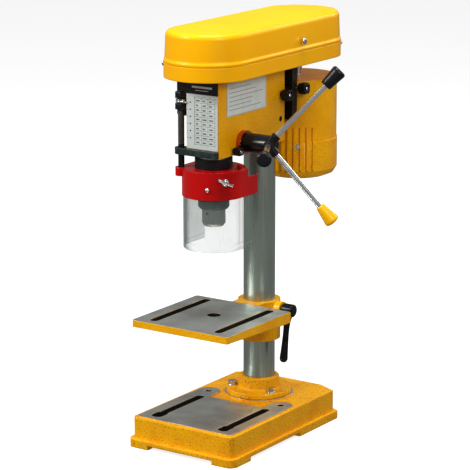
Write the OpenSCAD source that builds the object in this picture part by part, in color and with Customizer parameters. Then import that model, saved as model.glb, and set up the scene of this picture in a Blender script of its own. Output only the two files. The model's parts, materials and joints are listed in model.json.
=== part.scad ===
// Small bench drill press: cast base, tube column, sliding table, geared quill
// head, stepped belt drive under a hinged cover and a sliding motor.
// Millimetres. Origin: column axis on the bench. +Z up, -Y towards the operator.

/* [Layout] */
// Outer diameter of the column
column_d = 46; // [40:0.5:52]
// Distance from the column axis to the spindle axis
throat = 116; // [108:1:140]
// Height of the table's working face above the bench
table_z = 188; // [172:1:215]
// Height of the underside of the head above the bench
head_z = 420; // [400:1:480]

/* [Base] */
// Width across the feet
base_w = 182; // [160:1:220]
// Front edge to rear edge
base_d = 291; // [280:1:350]
// Column axis to the rear edge
base_rear = 88; // [75:1:110]
// Height of the painted top
base_h = 43; // [36:0.5:56]
// Thickness of the top and the skirt
base_wall = 7; // [5:0.5:9]
// Height of the flared foot band
foot_h = 12; // [8:0.5:16]
// How far the foot band stands out past the skirt
foot_flare = 5; // [4:0.5:9]
// Height of the ground pad above the painted top
pad_rise = 1.6; // [1:0.1:3]
// Width of the clamping slots
slot_w = 12.5; // [9:0.5:14]
// Diameter of the bench bolt holes
bench_hole_d = 9; // [6:0.5:11]
// Bench bolt holes in from the sides of the feet
bench_hole_in = 28; // [24:1:36]

/* [Column flange] */
// Width of the flange outside the bolt circle
flange_rim = 8.5; // [7.5:0.5:12]
// Thickness of the flange disc
flange_t = 8; // [6:0.5:12]
// Height of the collar above the disc
collar_h = 18; // [12:1:26]
// Diameter of the flange bolts
bolt_d = 8; // [6:1:8]

/* [Table] */
// Table width
table_w = 163; // [150:1:185]
// Table depth
table_d = 160; // [140:1:165]
// Thickness of the table plate
table_t = 10; // [8:0.5:14]
// Height of the clamping collar
table_collar_h = 58; // [46:1:66]
// Diameter of the centre hole
table_hole_d = 20; // [14:1:24]

/* [Head] */
// Wall of the head beside the column
head_wall = 5; // [4:0.5:9]
// Height of the casting above the quill
head_room = 30; // [27:1:40]
// Spindle axis forward to the front face
head_nose = 27; // [26:0.5:32]
// Length of column gripped by the head
column_grip = 52; // [44:1:54]

/* [Quill and spindle] */
// Quill outer diameter
quill_d = 44; // [40:0.5:44]
// Quill travel
travel = 50; // [40:1:64]
// Length of the quill beyond its travel
quill_grip = 80; // [72:1:96]
// Spindle diameter
spindle_d = 16; // [14:0.5:18]
// Teeth on the feed pinion
pinion_teeth = 16; // [14:1:16]
// Gear module of pinion and rack
gear_mod = 1.25; // [1.25:0.05:1.3]

/* [Chuck and guard] */
// Chuck body diameter
chuck_d = 33; // [30:0.5:36]
// Wall of the chuck sleeve
sleeve_wall = 2; // [1.6:0.1:4]
// Outer diameter of the guard hood
hood_d = 89; // [86:1:94]
// Height of the guard hood
hood_h = 39; // [34:1:44]
// Visible height of the clear guard below the hood
shield_drop = 75; // [60:1:80]

/* [Feed] */
// Length of a feed arm from the hub axis, measured square to it
arm_reach = 124; // [104:1:134]
// Diameter of a feed arm
arm_d = 8; // [6:0.5:9]
// Hub diameter
hub_d = 27.5; // [26:0.5:30]

/* [Drive] */
// Cover height above the pulleys
cover_room = 9; // [8:0.5:20]
// Cover width beside the largest pulley step
cover_side = 18; // [12:0.5:28]
// Motor diameter
motor_d = 114; // [100:1:116]
// Motor length
motor_l = 146; // [124:1:152]
// Radius of the smallest pulley step
step_r_min = 22; // [20:0.5:24]
// Growth in radius from one step to the next
step_r_gain = 5.5; // [4.5:0.1:6]
// Number of pulley steps
steps = 5; // [4:1:5]

/* [Clearances] */
// Radial running clearance between a shaft and its bore
run = 0.06; // [0.03:0.01:0.09]
// Gap between moving faces that must not rub
gap = 0.4; // [0.3:0.05:0.6]

/* [Hidden] */
$fn = 64;

eps = 0.01;
yellow = [1, 0.75, 0.02];
black = [0.09, 0.09, 0.1];
steel = [0.7, 0.72, 0.72];
zinc = [0.82, 0.83, 0.85];
red = [0.88, 0.1, 0.07];

// Vertical stack of the stand
base_front = base_d - base_rear;
pad_z = base_h + pad_rise;
flange_z = base_h + 3;
column_r = column_d / 2;
column_wall = 3;
column_top_z = head_z + column_grip;

// Base features
tab_r = 17;
bench_hole_x = base_w / 2 - bench_hole_in;
bench_hole_y = -39;
tab_root_y = -62;
slot_x = bench_hole_x - 6;
slot_front_y = -base_front + 20;
slot_back_y = tab_root_y - 2;
washer_r = 0.87 * bolt_d;
bolt_circle_r = column_r + 9 + washer_r;
flange_r = bolt_circle_r + flange_rim;
bolt_angles = [90, 210, 330];

// Table features
table_r = column_r + 8;
table_mid_y = -throat - 6;
table_back_y = table_mid_y + table_d / 2;
table_slot_x = table_w / 2 - 27;
table_collar_z = table_z - 1 - table_collar_h;
table_lock_z = table_z - 10 - table_t + 8;
lever_x = table_r + 19;
lever_len = 71;
lock_r = 5;

// Head features
head_w = max(column_d, quill_d + 2) + 2 * head_wall;
head_x = head_w / 2;
head_front_y = -throat - head_nose;
head_back_y = column_r + 9;
quill_r = quill_d / 2;
quill_len = travel + quill_grip;
quill_low_z = head_z - 48;
quill_top_z = quill_low_z + quill_len;
head_top_z = quill_top_z + head_room;
head_h = head_top_z - head_z;
pinion_r = gear_mod * pinion_teeth / 2;
pinion_w = 12;
pressure = 20;
pitch = PI * gear_mod;
tooth_h = 2 * gear_mod;
tooth_pitch_half = 0.21 * pitch;
tooth_root = tooth_pitch_half + 1.1 * gear_mod * tan(pressure);
tooth_tip = tooth_pitch_half - 0.9 * gear_mod * tan(pressure);
rack_y = -throat + quill_r - 1.2 * gear_mod;
rack_root_y = rack_y - 1.1 * gear_mod;
journal_r = pinion_r + gear_mod + 1;
feed_y = rack_y + pinion_r;
feed_z = head_z + journal_r + 3.75;
feed_ring_r = hub_d / 2 + 3;
tail_r = 6;
slide_r = 5;
slide_x = head_x - 12;
slide_z = column_top_z + slide_r + 11;
set_screw_z = head_z + 33;
set_r = 4;
set_screw_y = 12;
set_screw_x = sqrt(column_r * column_r - (set_screw_y - set_r) * (set_screw_y - set_r)) + 0.1;
flange_set_z = flange_z + flange_t + 10;
quill_lock_r = 8.5;
quill_lock_z = head_z + 7;
quill_lock_y = feed_y - sqrt(pow(feed_ring_r + quill_lock_r + 2 * gap, 2) - pow(feed_z - quill_lock_z, 2));

// Quill stack
bearing_r = quill_r - 4;
bearing_h = 12;
ring_z = head_z - 18;
ring_h = 14;
hood_z = ring_z - hood_h;
hood_r = hood_d / 2;
hood_wall = 1.3;
shield_t = 2;
shield_r = hood_r - hood_wall - gap;
shield_low_z = hood_z - shield_drop;
shield_lap = 6;
hood_tail = 20;
tab_tail = 44;
tab_step = 12;
ear_h = 12;

// Depth stop
rod_r = 4.4;
lug_h = 9;
lug_z = head_z + 1;
nut_z = lug_z + lug_h + travel + 4;
rod_x = -head_x - 10.5;
rod_y = head_front_y + 3.5;
rod_low_z = ring_z - ear_h;
rod_top_z = nut_z + 26;

// Chuck
chuck_top_z = quill_low_z - 2;
chuck_low_z = chuck_top_z - 52;
sleeve_low_z = chuck_top_z - 26;
jaw_tilt = 15;
jaw_r = 3;
jaw_l = 26;
jaw_travel = 22;
jaw_x = spindle_d / 2 - 4;
jaw_back_r = jaw_x + (jaw_l + jaw_travel) * sin(jaw_tilt) + jaw_r * cos(jaw_tilt);
recess_r = max(jaw_back_r + 0.6, chuck_d / 2 + 3.5);

// Drive
drive_z = head_top_z - 24;
drive_r = spindle_d / 2 + 4;
drive_bearing_r = drive_r + 4;
step_h = 10;
pulley_z = head_top_z + 7;
pulley_h = steps * step_h;
sleeve_top_z = pulley_z + pulley_h;
belt_step = 1;
spindle_belt_r = step_r(steps - 1 - belt_step);
motor_belt_r = step_r(belt_step);

// Cover
cover_r = step_r(steps - 1) + cover_side;
cover_front_y = -throat - 12;
cover_wall = 2.5;
tray_h = 21;
tray_z = head_top_z;
lid_z = tray_z + tray_h;
lid_top_z = sleeve_top_z + cover_room;
hinge_reach = 5;
hinge_x = -cover_r - hinge_reach;
hinge_z = lid_z;
pin_r = 2;
latch_y = 14;
latch_z = lid_z + 14.5;

// Motor
motor_r = motor_d / 2;
motor_top_z = head_top_z - 30;
motor_low_z = motor_top_z - motor_l;
bell_h = 56;
plate_y = head_back_y + 6;
plate_t = 5;
motor_y = plate_y + plate_t + motor_r + 1;
plate_low_z = head_z + 27;
plate_top_z = head_top_z - 8;
plate_lip = motor_y - plate_y - sqrt(motor_r * motor_r - (head_x - 1) * (head_x - 1)) - 0.8;
shaft_r = 6;

housing_x = head_x + 19;
housing_r = 21;
slide_lock_y = column_r - 9;

// Cover hinge and screws
knuckle_r = 4;
knuckle_l = 16;
hinge_places = [-96, 60];
tray_screw_places = [-throat + 30, head_back_y - 10];

// Motor plate knob and motor screws
knob_y = plate_y + plate_t + 2;
knob_z = slide_z + 6;
motor_screw_angles = [-58, 62, 182];

// Feed arms
ring_x = head_x + gap;
hub_x = ring_x + 7;
hub_len = 44;
arm_x = hub_x + hub_len - 9;
arm_splay = 31;
arm_angles = [56, 176, 296];
arm_len = arm_reach / cos(arm_splay);
knob_len = 30;

// Switch box on the left side of the head
box_x = -head_x - 24;
box_y = -throat + 14;
box_z = head_z + 78;

// Radius of pulley step i, smallest first
function step_r(i) = step_r_min + i * step_r_gain;

// Points of an arc about (cx, cy)
function arc(cx, cy, r, a0, a1, n) =
  [for (i = [0:n]) [cx + r * cos(a0 + (a1 - a0) * i / n), cy + r * sin(a0 + (a1 - a0) * i / n)]];

// Rectangle from corner to corner with four round corners
module round_rect(x0, y0, x1, y1, r) {
  translate([x0 + r, y0]) square([x1 - x0 - 2 * r, y1 - y0]);
  translate([x0, y0 + r]) square([x1 - x0, y1 - y0 - 2 * r]);
  for (x = [x0 + r, x1 - r], y = [y0 + r, y1 - r]) translate([x, y]) circle(r);
}

// Slot along Y from y0 to y1
module slot2d(x, y0, y1, w) {
  for (y = [y0 + w / 2, y1 - w / 2]) translate([x, y]) circle(d = w);
  translate([x - w / 2, y0 + w / 2]) square([w, y1 - y0 - w]);
}

// Cylinder along +X from x0 to x1 at (y, z)
module rod_x(x0, x1, y, z, r) {
  translate([x0, y, z]) rotate([0, 90, 0]) cylinder(h = x1 - x0, r = r);
}

// Cylinder along +Y from y0 to y1 at (x, z)
module rod_y(y0, y1, x, z, r) {
  translate([x, y0, z]) rotate([-90, 0, 0]) cylinder(h = y1 - y0, r = r);
}

// Ring on the Z axis
module ring(z, h, r_out, r_in) {
  translate([0, 0, z]) difference() {
    cylinder(h = h, r = r_out);
    translate([0, 0, -1]) cylinder(h = h + 2, r = r_in);
  }
}

// Hexagon bolt head with its washer, seated on z = 0
module hex_head(d) {
  cylinder(h = 1.6, r = washer_r);
  translate([0, 0, 1.6]) cylinder(h = 0.65 * d, r = 0.81 * d, $fn = 6);
}

// Outline of the base, drawn in from the feet by inset
module base_plan(inset) {
  x = base_w / 2 - inset;
  y0 = -base_front + inset;
  y1 = base_rear - inset;
  cut = 30;
  intersection() {
    round_rect(-x, y0, x, y1, 12 - inset / 2);
    polygon([[-x, y0], [x, y0], [x, y1 - cut / 2], [x - cut, y1], [cut - x, y1], [-x, y1 - cut / 2]]);
  }
}

// Ground pad with a rounded tab round each bench hole
module pad_plan() {
  x = base_w / 2 - foot_flare - 5;
  round_rect(-x, -base_front + foot_flare + 5, x, tab_root_y, 6);
  for (s = [-1, 1]) {
    translate([s * bench_hole_x, bench_hole_y]) circle(tab_r);
    translate([s * bench_hole_x - tab_r, tab_root_y - 8])
      square([2 * tab_r, bench_hole_y - tab_root_y + 8]);
  }
}

module base() {
  notch = 6;
  color(yellow) difference() {
    union() {
      linear_extrude(foot_h) base_plan(0);
      linear_extrude(base_h) base_plan(foot_flare);
      linear_extrude(pad_z) pad_plan();
      cylinder(h = flange_z, r = flange_r + 3);
    }
    difference() {
      translate([0, 0, -1]) linear_extrude(base_h - base_wall + 1) base_plan(foot_flare + base_wall);
      translate([0, 0, base_h - base_wall - 12]) cylinder(h = 20, r = flange_r - 2);
      for (s = [-1, 1]) translate([s * bench_hole_x, bench_hole_y, 0]) cylinder(h = base_h, r = 11);
    }
    for (s = [-1, 1]) {
      translate([0, 0, -1]) linear_extrude(pad_z + 2) {
        slot2d(s * slot_x, slot_front_y, slot_back_y, slot_w);
        slot2d(s * slot_x, slot_front_y, slot_front_y + 26, 1.4 * slot_w);
      }
      translate([s * bench_hole_x, bench_hole_y, -1]) cylinder(h = pad_z + 2, d = bench_hole_d);
      translate([s * base_w / 2 - 20, -base_front + 45, -1]) cube([40, base_front - 75, notch + 1]);
    }
    translate([-base_w / 2 + 36, -base_front - 1, -1]) cube([base_w - 72, 30, notch + 1]);
    for (a = bolt_angles) rotate(a) translate([bolt_circle_r, 0, flange_z - 24]) cylinder(h = 30, d = bolt_d);
  }
}

module column_flange() {
  r0 = column_r;
  color(yellow) difference() {
    translate([0, 0, flange_z]) rotate_extrude() polygon([
      [r0, 0], [flange_r - 1, 0], [flange_r, 1], [flange_r, flange_t - 2],
      [flange_r - 1, flange_t], [r0 + 8.5, flange_t], [r0 + 7, flange_t + 3],
      [r0 + 6.5, flange_t + collar_h - 2], [r0 + 4.5, flange_t + collar_h], [r0, flange_t + collar_h]
    ]);
    for (a = bolt_angles) rotate(a) translate([bolt_circle_r, 0, flange_z - 1])
      cylinder(h = flange_t + 2, d = bolt_d);
    rod_y(0, flange_r, 0, flange_set_z, set_r);
  }
}

module flange_bolts() {
  color(zinc) for (a = bolt_angles) rotate(a) translate([bolt_circle_r, 0, flange_z + flange_t]) {
    hex_head(bolt_d);
    translate([0, 0, -flange_t - 14]) cylinder(h = flange_t + 14 + eps, d = bolt_d);
  }
}

module column_set_screws() {
  color(black) {
    rod_y(column_r, column_r + 8, 0, flange_set_z, set_r);
    for (s = [-1, 1]) mirror([s > 0 ? 0 : 1, 0, 0])
      rod_x(set_screw_x, head_x - 0.5, set_screw_y, set_screw_z, set_r);
  }
}

module column() {
  color(steel) ring(flange_z, column_top_z - flange_z, column_r, column_r - column_wall);
}

module table() {
  x = table_w / 2;
  y0 = table_mid_y - table_d / 2;
  web_z = table_collar_z + 12;
  color(yellow) difference() {
    union() {
      translate([0, 0, table_z - table_t]) linear_extrude(table_t) round_rect(-x, y0, x, table_back_y, 4);
      for (s = [-1, 1]) translate([s * (x - 3) - 3, 0, 0]) rotate([90, 0, 90]) linear_extrude(6) polygon([
        [y0 + 12, table_z - table_t + eps], [table_back_y - 6, table_z - table_t - 6],
        [table_back_y, table_z - table_t - 6], [table_back_y, table_z - 1], [y0 + 12, table_z - 1]
      ]);
      translate([0, 0, table_collar_z]) cylinder(h = table_collar_h, r = table_r);
      translate([-22, 0, 0]) rotate([90, 0, 90]) linear_extrude(44) polygon([
        [0, web_z], [-column_r - 6, web_z], [table_mid_y + 18, table_z - table_t - 8],
        [table_mid_y + 18, table_z - 1], [0, table_z - 1]
      ]);
      rod_x(0, table_r + 10, 0, table_lock_z, 11);
    }
    translate([0, 0, table_collar_z - 1]) cylinder(h = table_collar_h + 20, r = column_r + run);
    translate([0, -throat, table_collar_z]) cylinder(h = table_collar_h + 2, d = table_hole_d);
    for (s = [-1, 1]) translate([0, 0, table_z - 40]) linear_extrude(50)
      slot2d(s * table_slot_x, y0 + 12, table_back_y - 8, slot_w);
    rod_x(0, table_r + 20, 0, table_lock_z, lock_r + run);
  }
}

module table_lock_screw() {
  color(steel) rod_x(column_r + gap, lever_x + 4, 0, table_lock_z, lock_r);
}

module table_lock_lever() {
  lean = 9;
  color(black) translate([lever_x, 0, table_lock_z]) difference() {
    union() {
      rotate([0, 90, 0]) translate([0, 0, -8]) cylinder(h = 18, r = 9.5);
      rotate([-lean, 0, 0]) {
        translate([0, 0, -lever_len]) cylinder(h = lever_len, r = 4.4);
        translate([0, 0, -lever_len - 1]) sphere(6.2);
      }
    }
    rotate([0, 90, 0]) translate([0, 0, -9]) cylinder(h = 13, r = lock_r);
  }
}

module head_casting() {
  color(yellow) difference() {
    union() {
      translate([0, 0, head_z]) linear_extrude(head_h) {
        round_rect(-head_x, head_front_y, head_x, 0, 3);
        round_rect(-head_x, -40, head_x, head_back_y, 14);
      }
      // Pad that carries the return spring
      rod_x(-head_x - 4, 0, feed_y, feed_z, 15.5);
    }
    translate([0, -throat, head_z - 1]) cylinder(h = head_h - 25, r = quill_r + run);
    translate([0, -throat, drive_z - 10]) cylinder(h = 40, r = drive_bearing_r);
    translate([0, 0, head_z - 1]) cylinder(h = column_grip + 1, r = column_r);
    rod_x(0, head_x + 1, feed_y, feed_z, journal_r + run);
    rod_x(-head_x - 5, 0, feed_y, feed_z, tail_r + run);
    rod_x(-12, 0, feed_y, feed_z, journal_r + run);
    // Pocket behind the quill that lightens the casting
    translate([-head_x + 8, -throat + quill_r + 12, feed_z + 24])
      cube([head_w - 16, throat - quill_r - 42, head_h]);
    for (s = [-1, 1]) {
      rod_y(-34, head_back_y + 1, s * slide_x, slide_z, slide_r + run);
      translate([s > 0 ? slide_x : -head_x - 1, slide_lock_y, slide_z]) rotate([0, 90, 0])
        cylinder(h = head_x - slide_x + 1, r = 3 + run);
    }
    rod_x(-head_x - 1, head_x + 1, set_screw_y, set_screw_z, set_r);
    rod_x(0, head_x + 1, quill_lock_y, quill_lock_z, 3 + run);
    for (x = [-18, 18], y = tray_screw_places)
      translate([x, y, head_top_z - 14]) cylinder(h = 20, r = 2.5);
  }
}

module front_plate() {
  color([0.86, 0.88, 0.86]) translate([0, head_front_y, 0]) rotate([90, 0, 0]) linear_extrude(1.2)
    round_rect(-head_x + 2, lug_z + lug_h + 1, head_x - 2, head_top_z - 2, 1.5);
}

module side_plate() {
  color([0.88, 0.9, 0.88]) translate([head_x, 0, 0]) rotate([90, 0, 90]) linear_extrude(0.6)
    round_rect(head_front_y + 18, head_z + 56, head_front_y + 116, head_z + 104, 1.5);
}

module depth_lug() {
  color([0.2, 0.25, 0.25]) difference() {
    translate([0, 0, lug_z]) linear_extrude(lug_h) {
      translate([-head_x + 1, head_front_y - 6]) square([head_w - 2, 6]);
      translate([rod_x, rod_y]) circle(9);
      translate([rod_x, head_front_y - 6]) square([20, 6]);
      translate([rod_x, rod_y - 9]) square([-head_x - rod_x, 9]);
    }
    translate([-head_x, head_front_y, lug_z - 1]) cube([head_w, 40, lug_h + 2]);
    translate([rod_x, rod_y, lug_z - 1]) cylinder(h = lug_h + 2, r = rod_r + gap);
  }
}

// Rack tooth outline, root on x = 0, flanks at the pressure angle
module rack_tooth() {
  polygon([
    [-0.8, tooth_root], [0, tooth_root], [tooth_h, tooth_tip],
    [tooth_h, -tooth_tip], [0, -tooth_root], [-0.8, -tooth_root]
  ]);
}

module quill() {
  slot_h = travel + 20;
  color(steel) difference() {
    translate([0, -throat, quill_low_z]) cylinder(h = quill_len, r = quill_r);
    translate([0, -throat, quill_low_z - 1]) cylinder(h = quill_len + 2, r = spindle_d / 2 + 4);
    for (z = [quill_low_z - 1, quill_top_z - bearing_h]) translate([0, -throat, z])
      cylinder(h = bearing_h + 1, r = bearing_r);
    difference() {
      translate([-pinion_w / 2 - 1, rack_root_y, feed_z - 9]) cube([pinion_w + 2, 20, slot_h]);
      for (i = [-2:floor((slot_h - 9) / pitch)]) translate([-pinion_w, rack_root_y, feed_z + i * pitch])
        rotate([90, 0, 90]) linear_extrude(2 * pinion_w) rack_tooth();
    }
  }
}

module quill_collar() {
  color(black) translate([0, -throat, 0]) difference() {
    ring(ring_z, ring_h, quill_r + 4.5, quill_r);
    translate([0, 0, ring_z + ring_h / 2]) rotate([0, 90, 0]) cylinder(h = 40, r = 2);
  }
}

module quill_bearings() {
  color(steel) translate([0, -throat, 0]) for (z = [quill_low_z, quill_top_z - bearing_h])
    ring(z, bearing_h, bearing_r, spindle_d / 2 + run);
}

module spindle() {
  low_z = chuck_top_z - 20;
  color(steel) translate([0, -throat, 0]) {
    translate([0, 0, low_z]) cylinder(h = sleeve_top_z - 4 - low_z, d = spindle_d);
    translate([0, 0, quill_top_z + gap]) cylinder(h = 3, r = spindle_d / 2 + 3);
  }
}

// Inclined jaw axis number i, drawn with its tip at the lower chuck mouth
module at_jaw(i) {
  translate([0, -throat, 0]) rotate(90 + 120 * i) translate([jaw_x, 0, chuck_low_z]) rotate([0, jaw_tilt, 0])
    children();
}

module chuck_body() {
  color(steel) difference() {
    translate([0, -throat, 0]) rotate_extrude() polygon([
      [0, chuck_low_z + 1], [chuck_d / 2 - 3, chuck_low_z + 1], [chuck_d / 2, chuck_low_z + 5],
      [chuck_d / 2, chuck_top_z - 1], [chuck_d / 2 - 1, chuck_top_z], [0, chuck_top_z]
    ]);
    translate([0, -throat, chuck_top_z - 20]) cylinder(h = 30, d = spindle_d);
    translate([0, -throat, chuck_low_z - 1]) cylinder(h = 30, r = 7);
    for (i = [0:2]) {
      at_jaw(i) translate([0, 0, -2]) cylinder(h = jaw_l + jaw_travel + 4, r = jaw_r + run);
      // Pilot hole for the chuck key
      translate([0, -throat, sleeve_low_z - 6]) rotate(30 + 120 * i) rotate([0, 90, 0])
        translate([0, 0, chuck_d / 2 - 7]) cylinder(h = 10, r = 2.5);
    }
  }
}

module chuck_sleeve() {
  r0 = chuck_d / 2 + run;
  r1 = recess_r + sleeve_wall;
  top_z = chuck_top_z - 1;
  color([0.35, 0.36, 0.37]) translate([0, -throat, 0]) difference() {
    // Ring with a recess that the jaws back into
    rotate_extrude() polygon([
      [r0, sleeve_low_z], [r1 - 2, sleeve_low_z], [r1, sleeve_low_z + 3], [r1, top_z - 2], [r1 - 2, top_z],
      [r0, top_z], [r0, top_z - 3], [recess_r, top_z - 3], [recess_r, sleeve_low_z + 2.5],
      [r0, sleeve_low_z + 2]
    ]);
    for (a = [0:15:345]) rotate(a) translate([r1 + 0.6, 0, sleeve_low_z - 1]) cylinder(h = 6, r = 1.5);
  }
}

// Jaw number i: a slanted pin whose nose is a 120 degree wedge
module chuck_jaw(i) {
  color([0.3, 0.3, 0.31]) intersection() {
    at_jaw(i) cylinder(h = jaw_l, r = jaw_r);
    translate([0, -throat, chuck_low_z - 5]) rotate(90 + 120 * i) linear_extrude(jaw_l + 10)
      polygon([[0.3, 0], [chuck_d, chuck_d * tan(59.5)], [chuck_d, -chuck_d * tan(59.5)]]);
  }
}

module chuck_jaw_1() { chuck_jaw(0); }
module chuck_jaw_2() { chuck_jaw(1); }
module chuck_jaw_3() { chuck_jaw(2); }

// U-shaped outline round the spindle: half round in front, straight sides behind
module guard_plan(r, tail) {
  circle(r);
  translate([-r, 0]) square([2 * r, tail]);
}

module guard_hood() {
  color(red) difference() {
    union() {
      translate([0, -throat, hood_z]) difference() {
        union() {
          linear_extrude(hood_h) guard_plan(hood_r, hood_tail);
          linear_extrude(hood_h - tab_step) guard_plan(hood_r, tab_tail);
        }
        translate([0, 0, -1]) linear_extrude(hood_h - 1) guard_plan(hood_r - hood_wall, tab_tail + 10);
      }
      // Clamp ring on the quill, the ear that carries the depth rod with its web, a lifting ear
      translate([0, -throat, ring_z - ear_h]) cylinder(h = ear_h, r = quill_r + 4.5);
      translate([rod_x, rod_y, ring_z - ear_h]) cylinder(h = ear_h, r = 8.5);
      translate([0, -throat, ring_z - ear_h + 1]) rotate(atan2(rod_y + throat, rod_x))
        translate([quill_r + 2, -3, 0]) cube([norm([rod_x, rod_y + throat]) - quill_r - 5, 6, ear_h - 1.5]);
      translate([hood_r - 8, hood_tail - throat - 8, ring_z - 1]) cylinder(h = 6, r = 4);
    }
    translate([0, -throat, hood_z]) cylinder(h = hood_h + 1, r = quill_r);
    translate([rod_x, rod_y, hood_z]) cylinder(h = hood_h + 1, r = rod_r);
    at_guard_screw() translate([0, 0, -8]) cylinder(h = 12, r = 2.5 + run);
    at_guard_stud() translate([0, 0, -8]) cylinder(h = 12, r = 2);
  }
}

// Thumb screw position on the hood, its +Z pointing out of the wall
module at_guard_screw() {
  translate([0, -throat, hood_z + hood_h / 2 + 6]) rotate(-35) rotate([0, 90, 0]) translate([0, 0, hood_r])
    children();
}

// Dome screw position on the hood
module at_guard_stud() {
  translate([0, -throat, hood_z + hood_h / 2 - 4]) rotate(-67) rotate([0, 90, 0]) translate([0, 0, hood_r])
    children();
}

module guard_shield() {
  color([0.85, 0.95, 0.95, 0.35]) translate([0, -throat, shield_low_z]) difference() {
    linear_extrude(shield_drop + shield_lap) guard_plan(shield_r, tab_tail - 8);
    translate([0, 0, -1]) linear_extrude(shield_drop + shield_lap + 2)
      guard_plan(shield_r - shield_t, tab_tail);
  }
}

module guard_lock_screw() {
  color(zinc) at_guard_screw() {
    translate([0, 0, -hood_wall]) cylinder(h = hood_wall + 5, r = 2.5);
    rotate(-25) translate([0, -13, 4]) rotate([-90, 0, 0]) cylinder(h = 26, r = 2.2);
  }
}

module guard_screws() {
  color(zinc) at_guard_stud() {
    intersection() {
      sphere(3.4);
      translate([-5, -5, 0]) cube(10);
    }
    translate([0, 0, -hood_wall]) cylinder(h = hood_wall + 1, r = 2);
  }
}

module depth_rod() {
  color(black) translate([rod_x, rod_y, rod_low_z]) cylinder(h = rod_top_z - rod_low_z, r = rod_r);
}

module depth_nuts() {
  color(black) for (z = [nut_z, nut_z + 16]) translate([rod_x, rod_y, z]) difference() {
    cylinder(h = 8, r = 9, $fn = 6);
    translate([0, 0, -1]) cylinder(h = 12, r = rod_r);
  }
}

module depth_pointer() {
  color(zinc) translate([rod_x, rod_y, nut_z + 10]) difference() {
    union() {
      cylinder(h = 4, r = rod_r + 3);
      linear_extrude(2) polygon([[0, -9], [14, -7], [14, -6], [0, 0]]);
    }
    translate([0, 0, -1]) cylinder(h = 7, r = rod_r);
  }
}

// Involute of an angle, in degrees
function involute(a) = tan(a) * 180 / PI - a;

// Half angle of a pinion tooth at radius r
function tooth_angle(r) = 180 / PI * tooth_pitch_half / pinion_r + involute(pressure)
  - involute(acos(min(1, pinion_r * cos(pressure) / r)));

// Gear outline, a tooth space facing -Y
module pinion_plan() {
  base_r = pinion_r * cos(pressure);
  root_r = pinion_r - 1.1 * gear_mod;
  tip_r = pinion_r + 0.9 * gear_mod;
  flank = [for (i = [0:4]) base_r + (tip_r - base_r) * i / 4];
  polygon([for (t = [0:pinion_teeth - 1]) let (mid = -90 + (t + 0.5) * 360 / pinion_teeth) each concat(
    [root_r * [cos(mid - tooth_angle(base_r)), sin(mid - tooth_angle(base_r))]],
    [for (r = flank) r * [cos(mid - tooth_angle(r)), sin(mid - tooth_angle(r))]],
    [for (i = [4:-1:0]) flank[i] * [cos(mid + tooth_angle(flank[i])), sin(mid + tooth_angle(flank[i]))]],
    [root_r * [cos(mid + tooth_angle(base_r)), sin(mid + tooth_angle(base_r))]]
  )]);
}

module feed_shaft() {
  neck_x = pinion_w / 2;
  color(steel) {
    translate([-pinion_w / 2, feed_y, feed_z]) rotate([90, 0, 90]) linear_extrude(pinion_w) pinion_plan();
    rod_x(-housing_x + 3, -pinion_w / 2, feed_y, feed_z, tail_r);
    rod_x(neck_x, neck_x + 8, feed_y, feed_z, 8);
    rod_x(neck_x + 8, head_x, feed_y, feed_z, journal_r);
    rod_x(head_x, arm_x - 8, feed_y, feed_z, 8);
  }
}

module feed_ring() {
  color([0.72, 0.36, 0.2]) difference() {
    rod_x(ring_x, hub_x, feed_y, feed_z, feed_ring_r);
    rod_x(ring_x - 1, hub_x + 1, feed_y, feed_z, 8);
  }
}

// Frame of feed arm number i: +Z runs out along the arm from the hub axis
module at_arm(i) {
  translate([arm_x, feed_y, feed_z]) rotate([arm_angles[i] - 90, 0, 0]) rotate([0, arm_splay, 0]) children();
}

module feed_hub() {
  color(black) difference() {
    union() {
      rod_x(hub_x, hub_x + hub_len, feed_y, feed_z, hub_d / 2);
      for (i = [0:2]) at_arm(i) translate([0, 0, 8]) cylinder(h = 10, r = arm_d / 2 + 2.5);
    }
    rod_x(hub_x - 1, arm_x - 8, feed_y, feed_z, 8);
    for (i = [0:2]) at_arm(i) translate([0, 0, 6]) cylinder(h = 30, d = arm_d);
  }
}

module feed_arms() {
  color(steel) for (i = [0:2]) at_arm(i) translate([0, 0, 6]) cylinder(h = arm_len - knob_len + 8, d = arm_d);
}

// Knob turned on the arm axis, radius r0 at its root and r1 near its end
module arm_knob(r0, r1) {
  z0 = arm_len - knob_len;
  difference() {
    translate([0, 0, z0]) rotate_extrude() polygon([
      [0, 0], [r0 - 1, 0], [r0, 1], [r1, knob_len - 5], [r1 - 1, knob_len - 2], [r1 - 4, knob_len],
      [0, knob_len]
    ]);
    translate([0, 0, z0 - 1]) cylinder(h = 15, d = arm_d);
  }
}

module feed_knobs() {
  color(black) for (i = [0, 1]) at_arm(i) arm_knob(8.5, 10.5);
}

module feed_knob_yellow() {
  color(yellow) at_arm(2) arm_knob(6, 11);
}

module spring_housing() {
  color(black) difference() {
    rod_x(-housing_x, -head_x - 4, feed_y, feed_z, housing_r);
    rod_x(-housing_x + 2, -head_x - 3, feed_y, feed_z, housing_r - 2.5);
  }
}

// Flat spiral spring: a strip between two Archimedean curves
module return_spring() {
  turns = 4;
  r0 = tail_r + 1.5;
  r1 = housing_r - 4;
  strip = 0.8;
  n = 24 * turns;
  color(steel) translate([-housing_x + 3.5, feed_y, feed_z]) rotate([90, 0, 90]) linear_extrude(8)
    polygon(concat(
      [for (i = [0:n]) (r0 + (r1 - r0) * i / n) * [cos(i * 15), sin(i * 15)]],
      [for (i = [n:-1:0]) (r0 + strip + (r1 - r0) * i / n) * [cos(i * 15), sin(i * 15)]]
    ));
}

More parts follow.
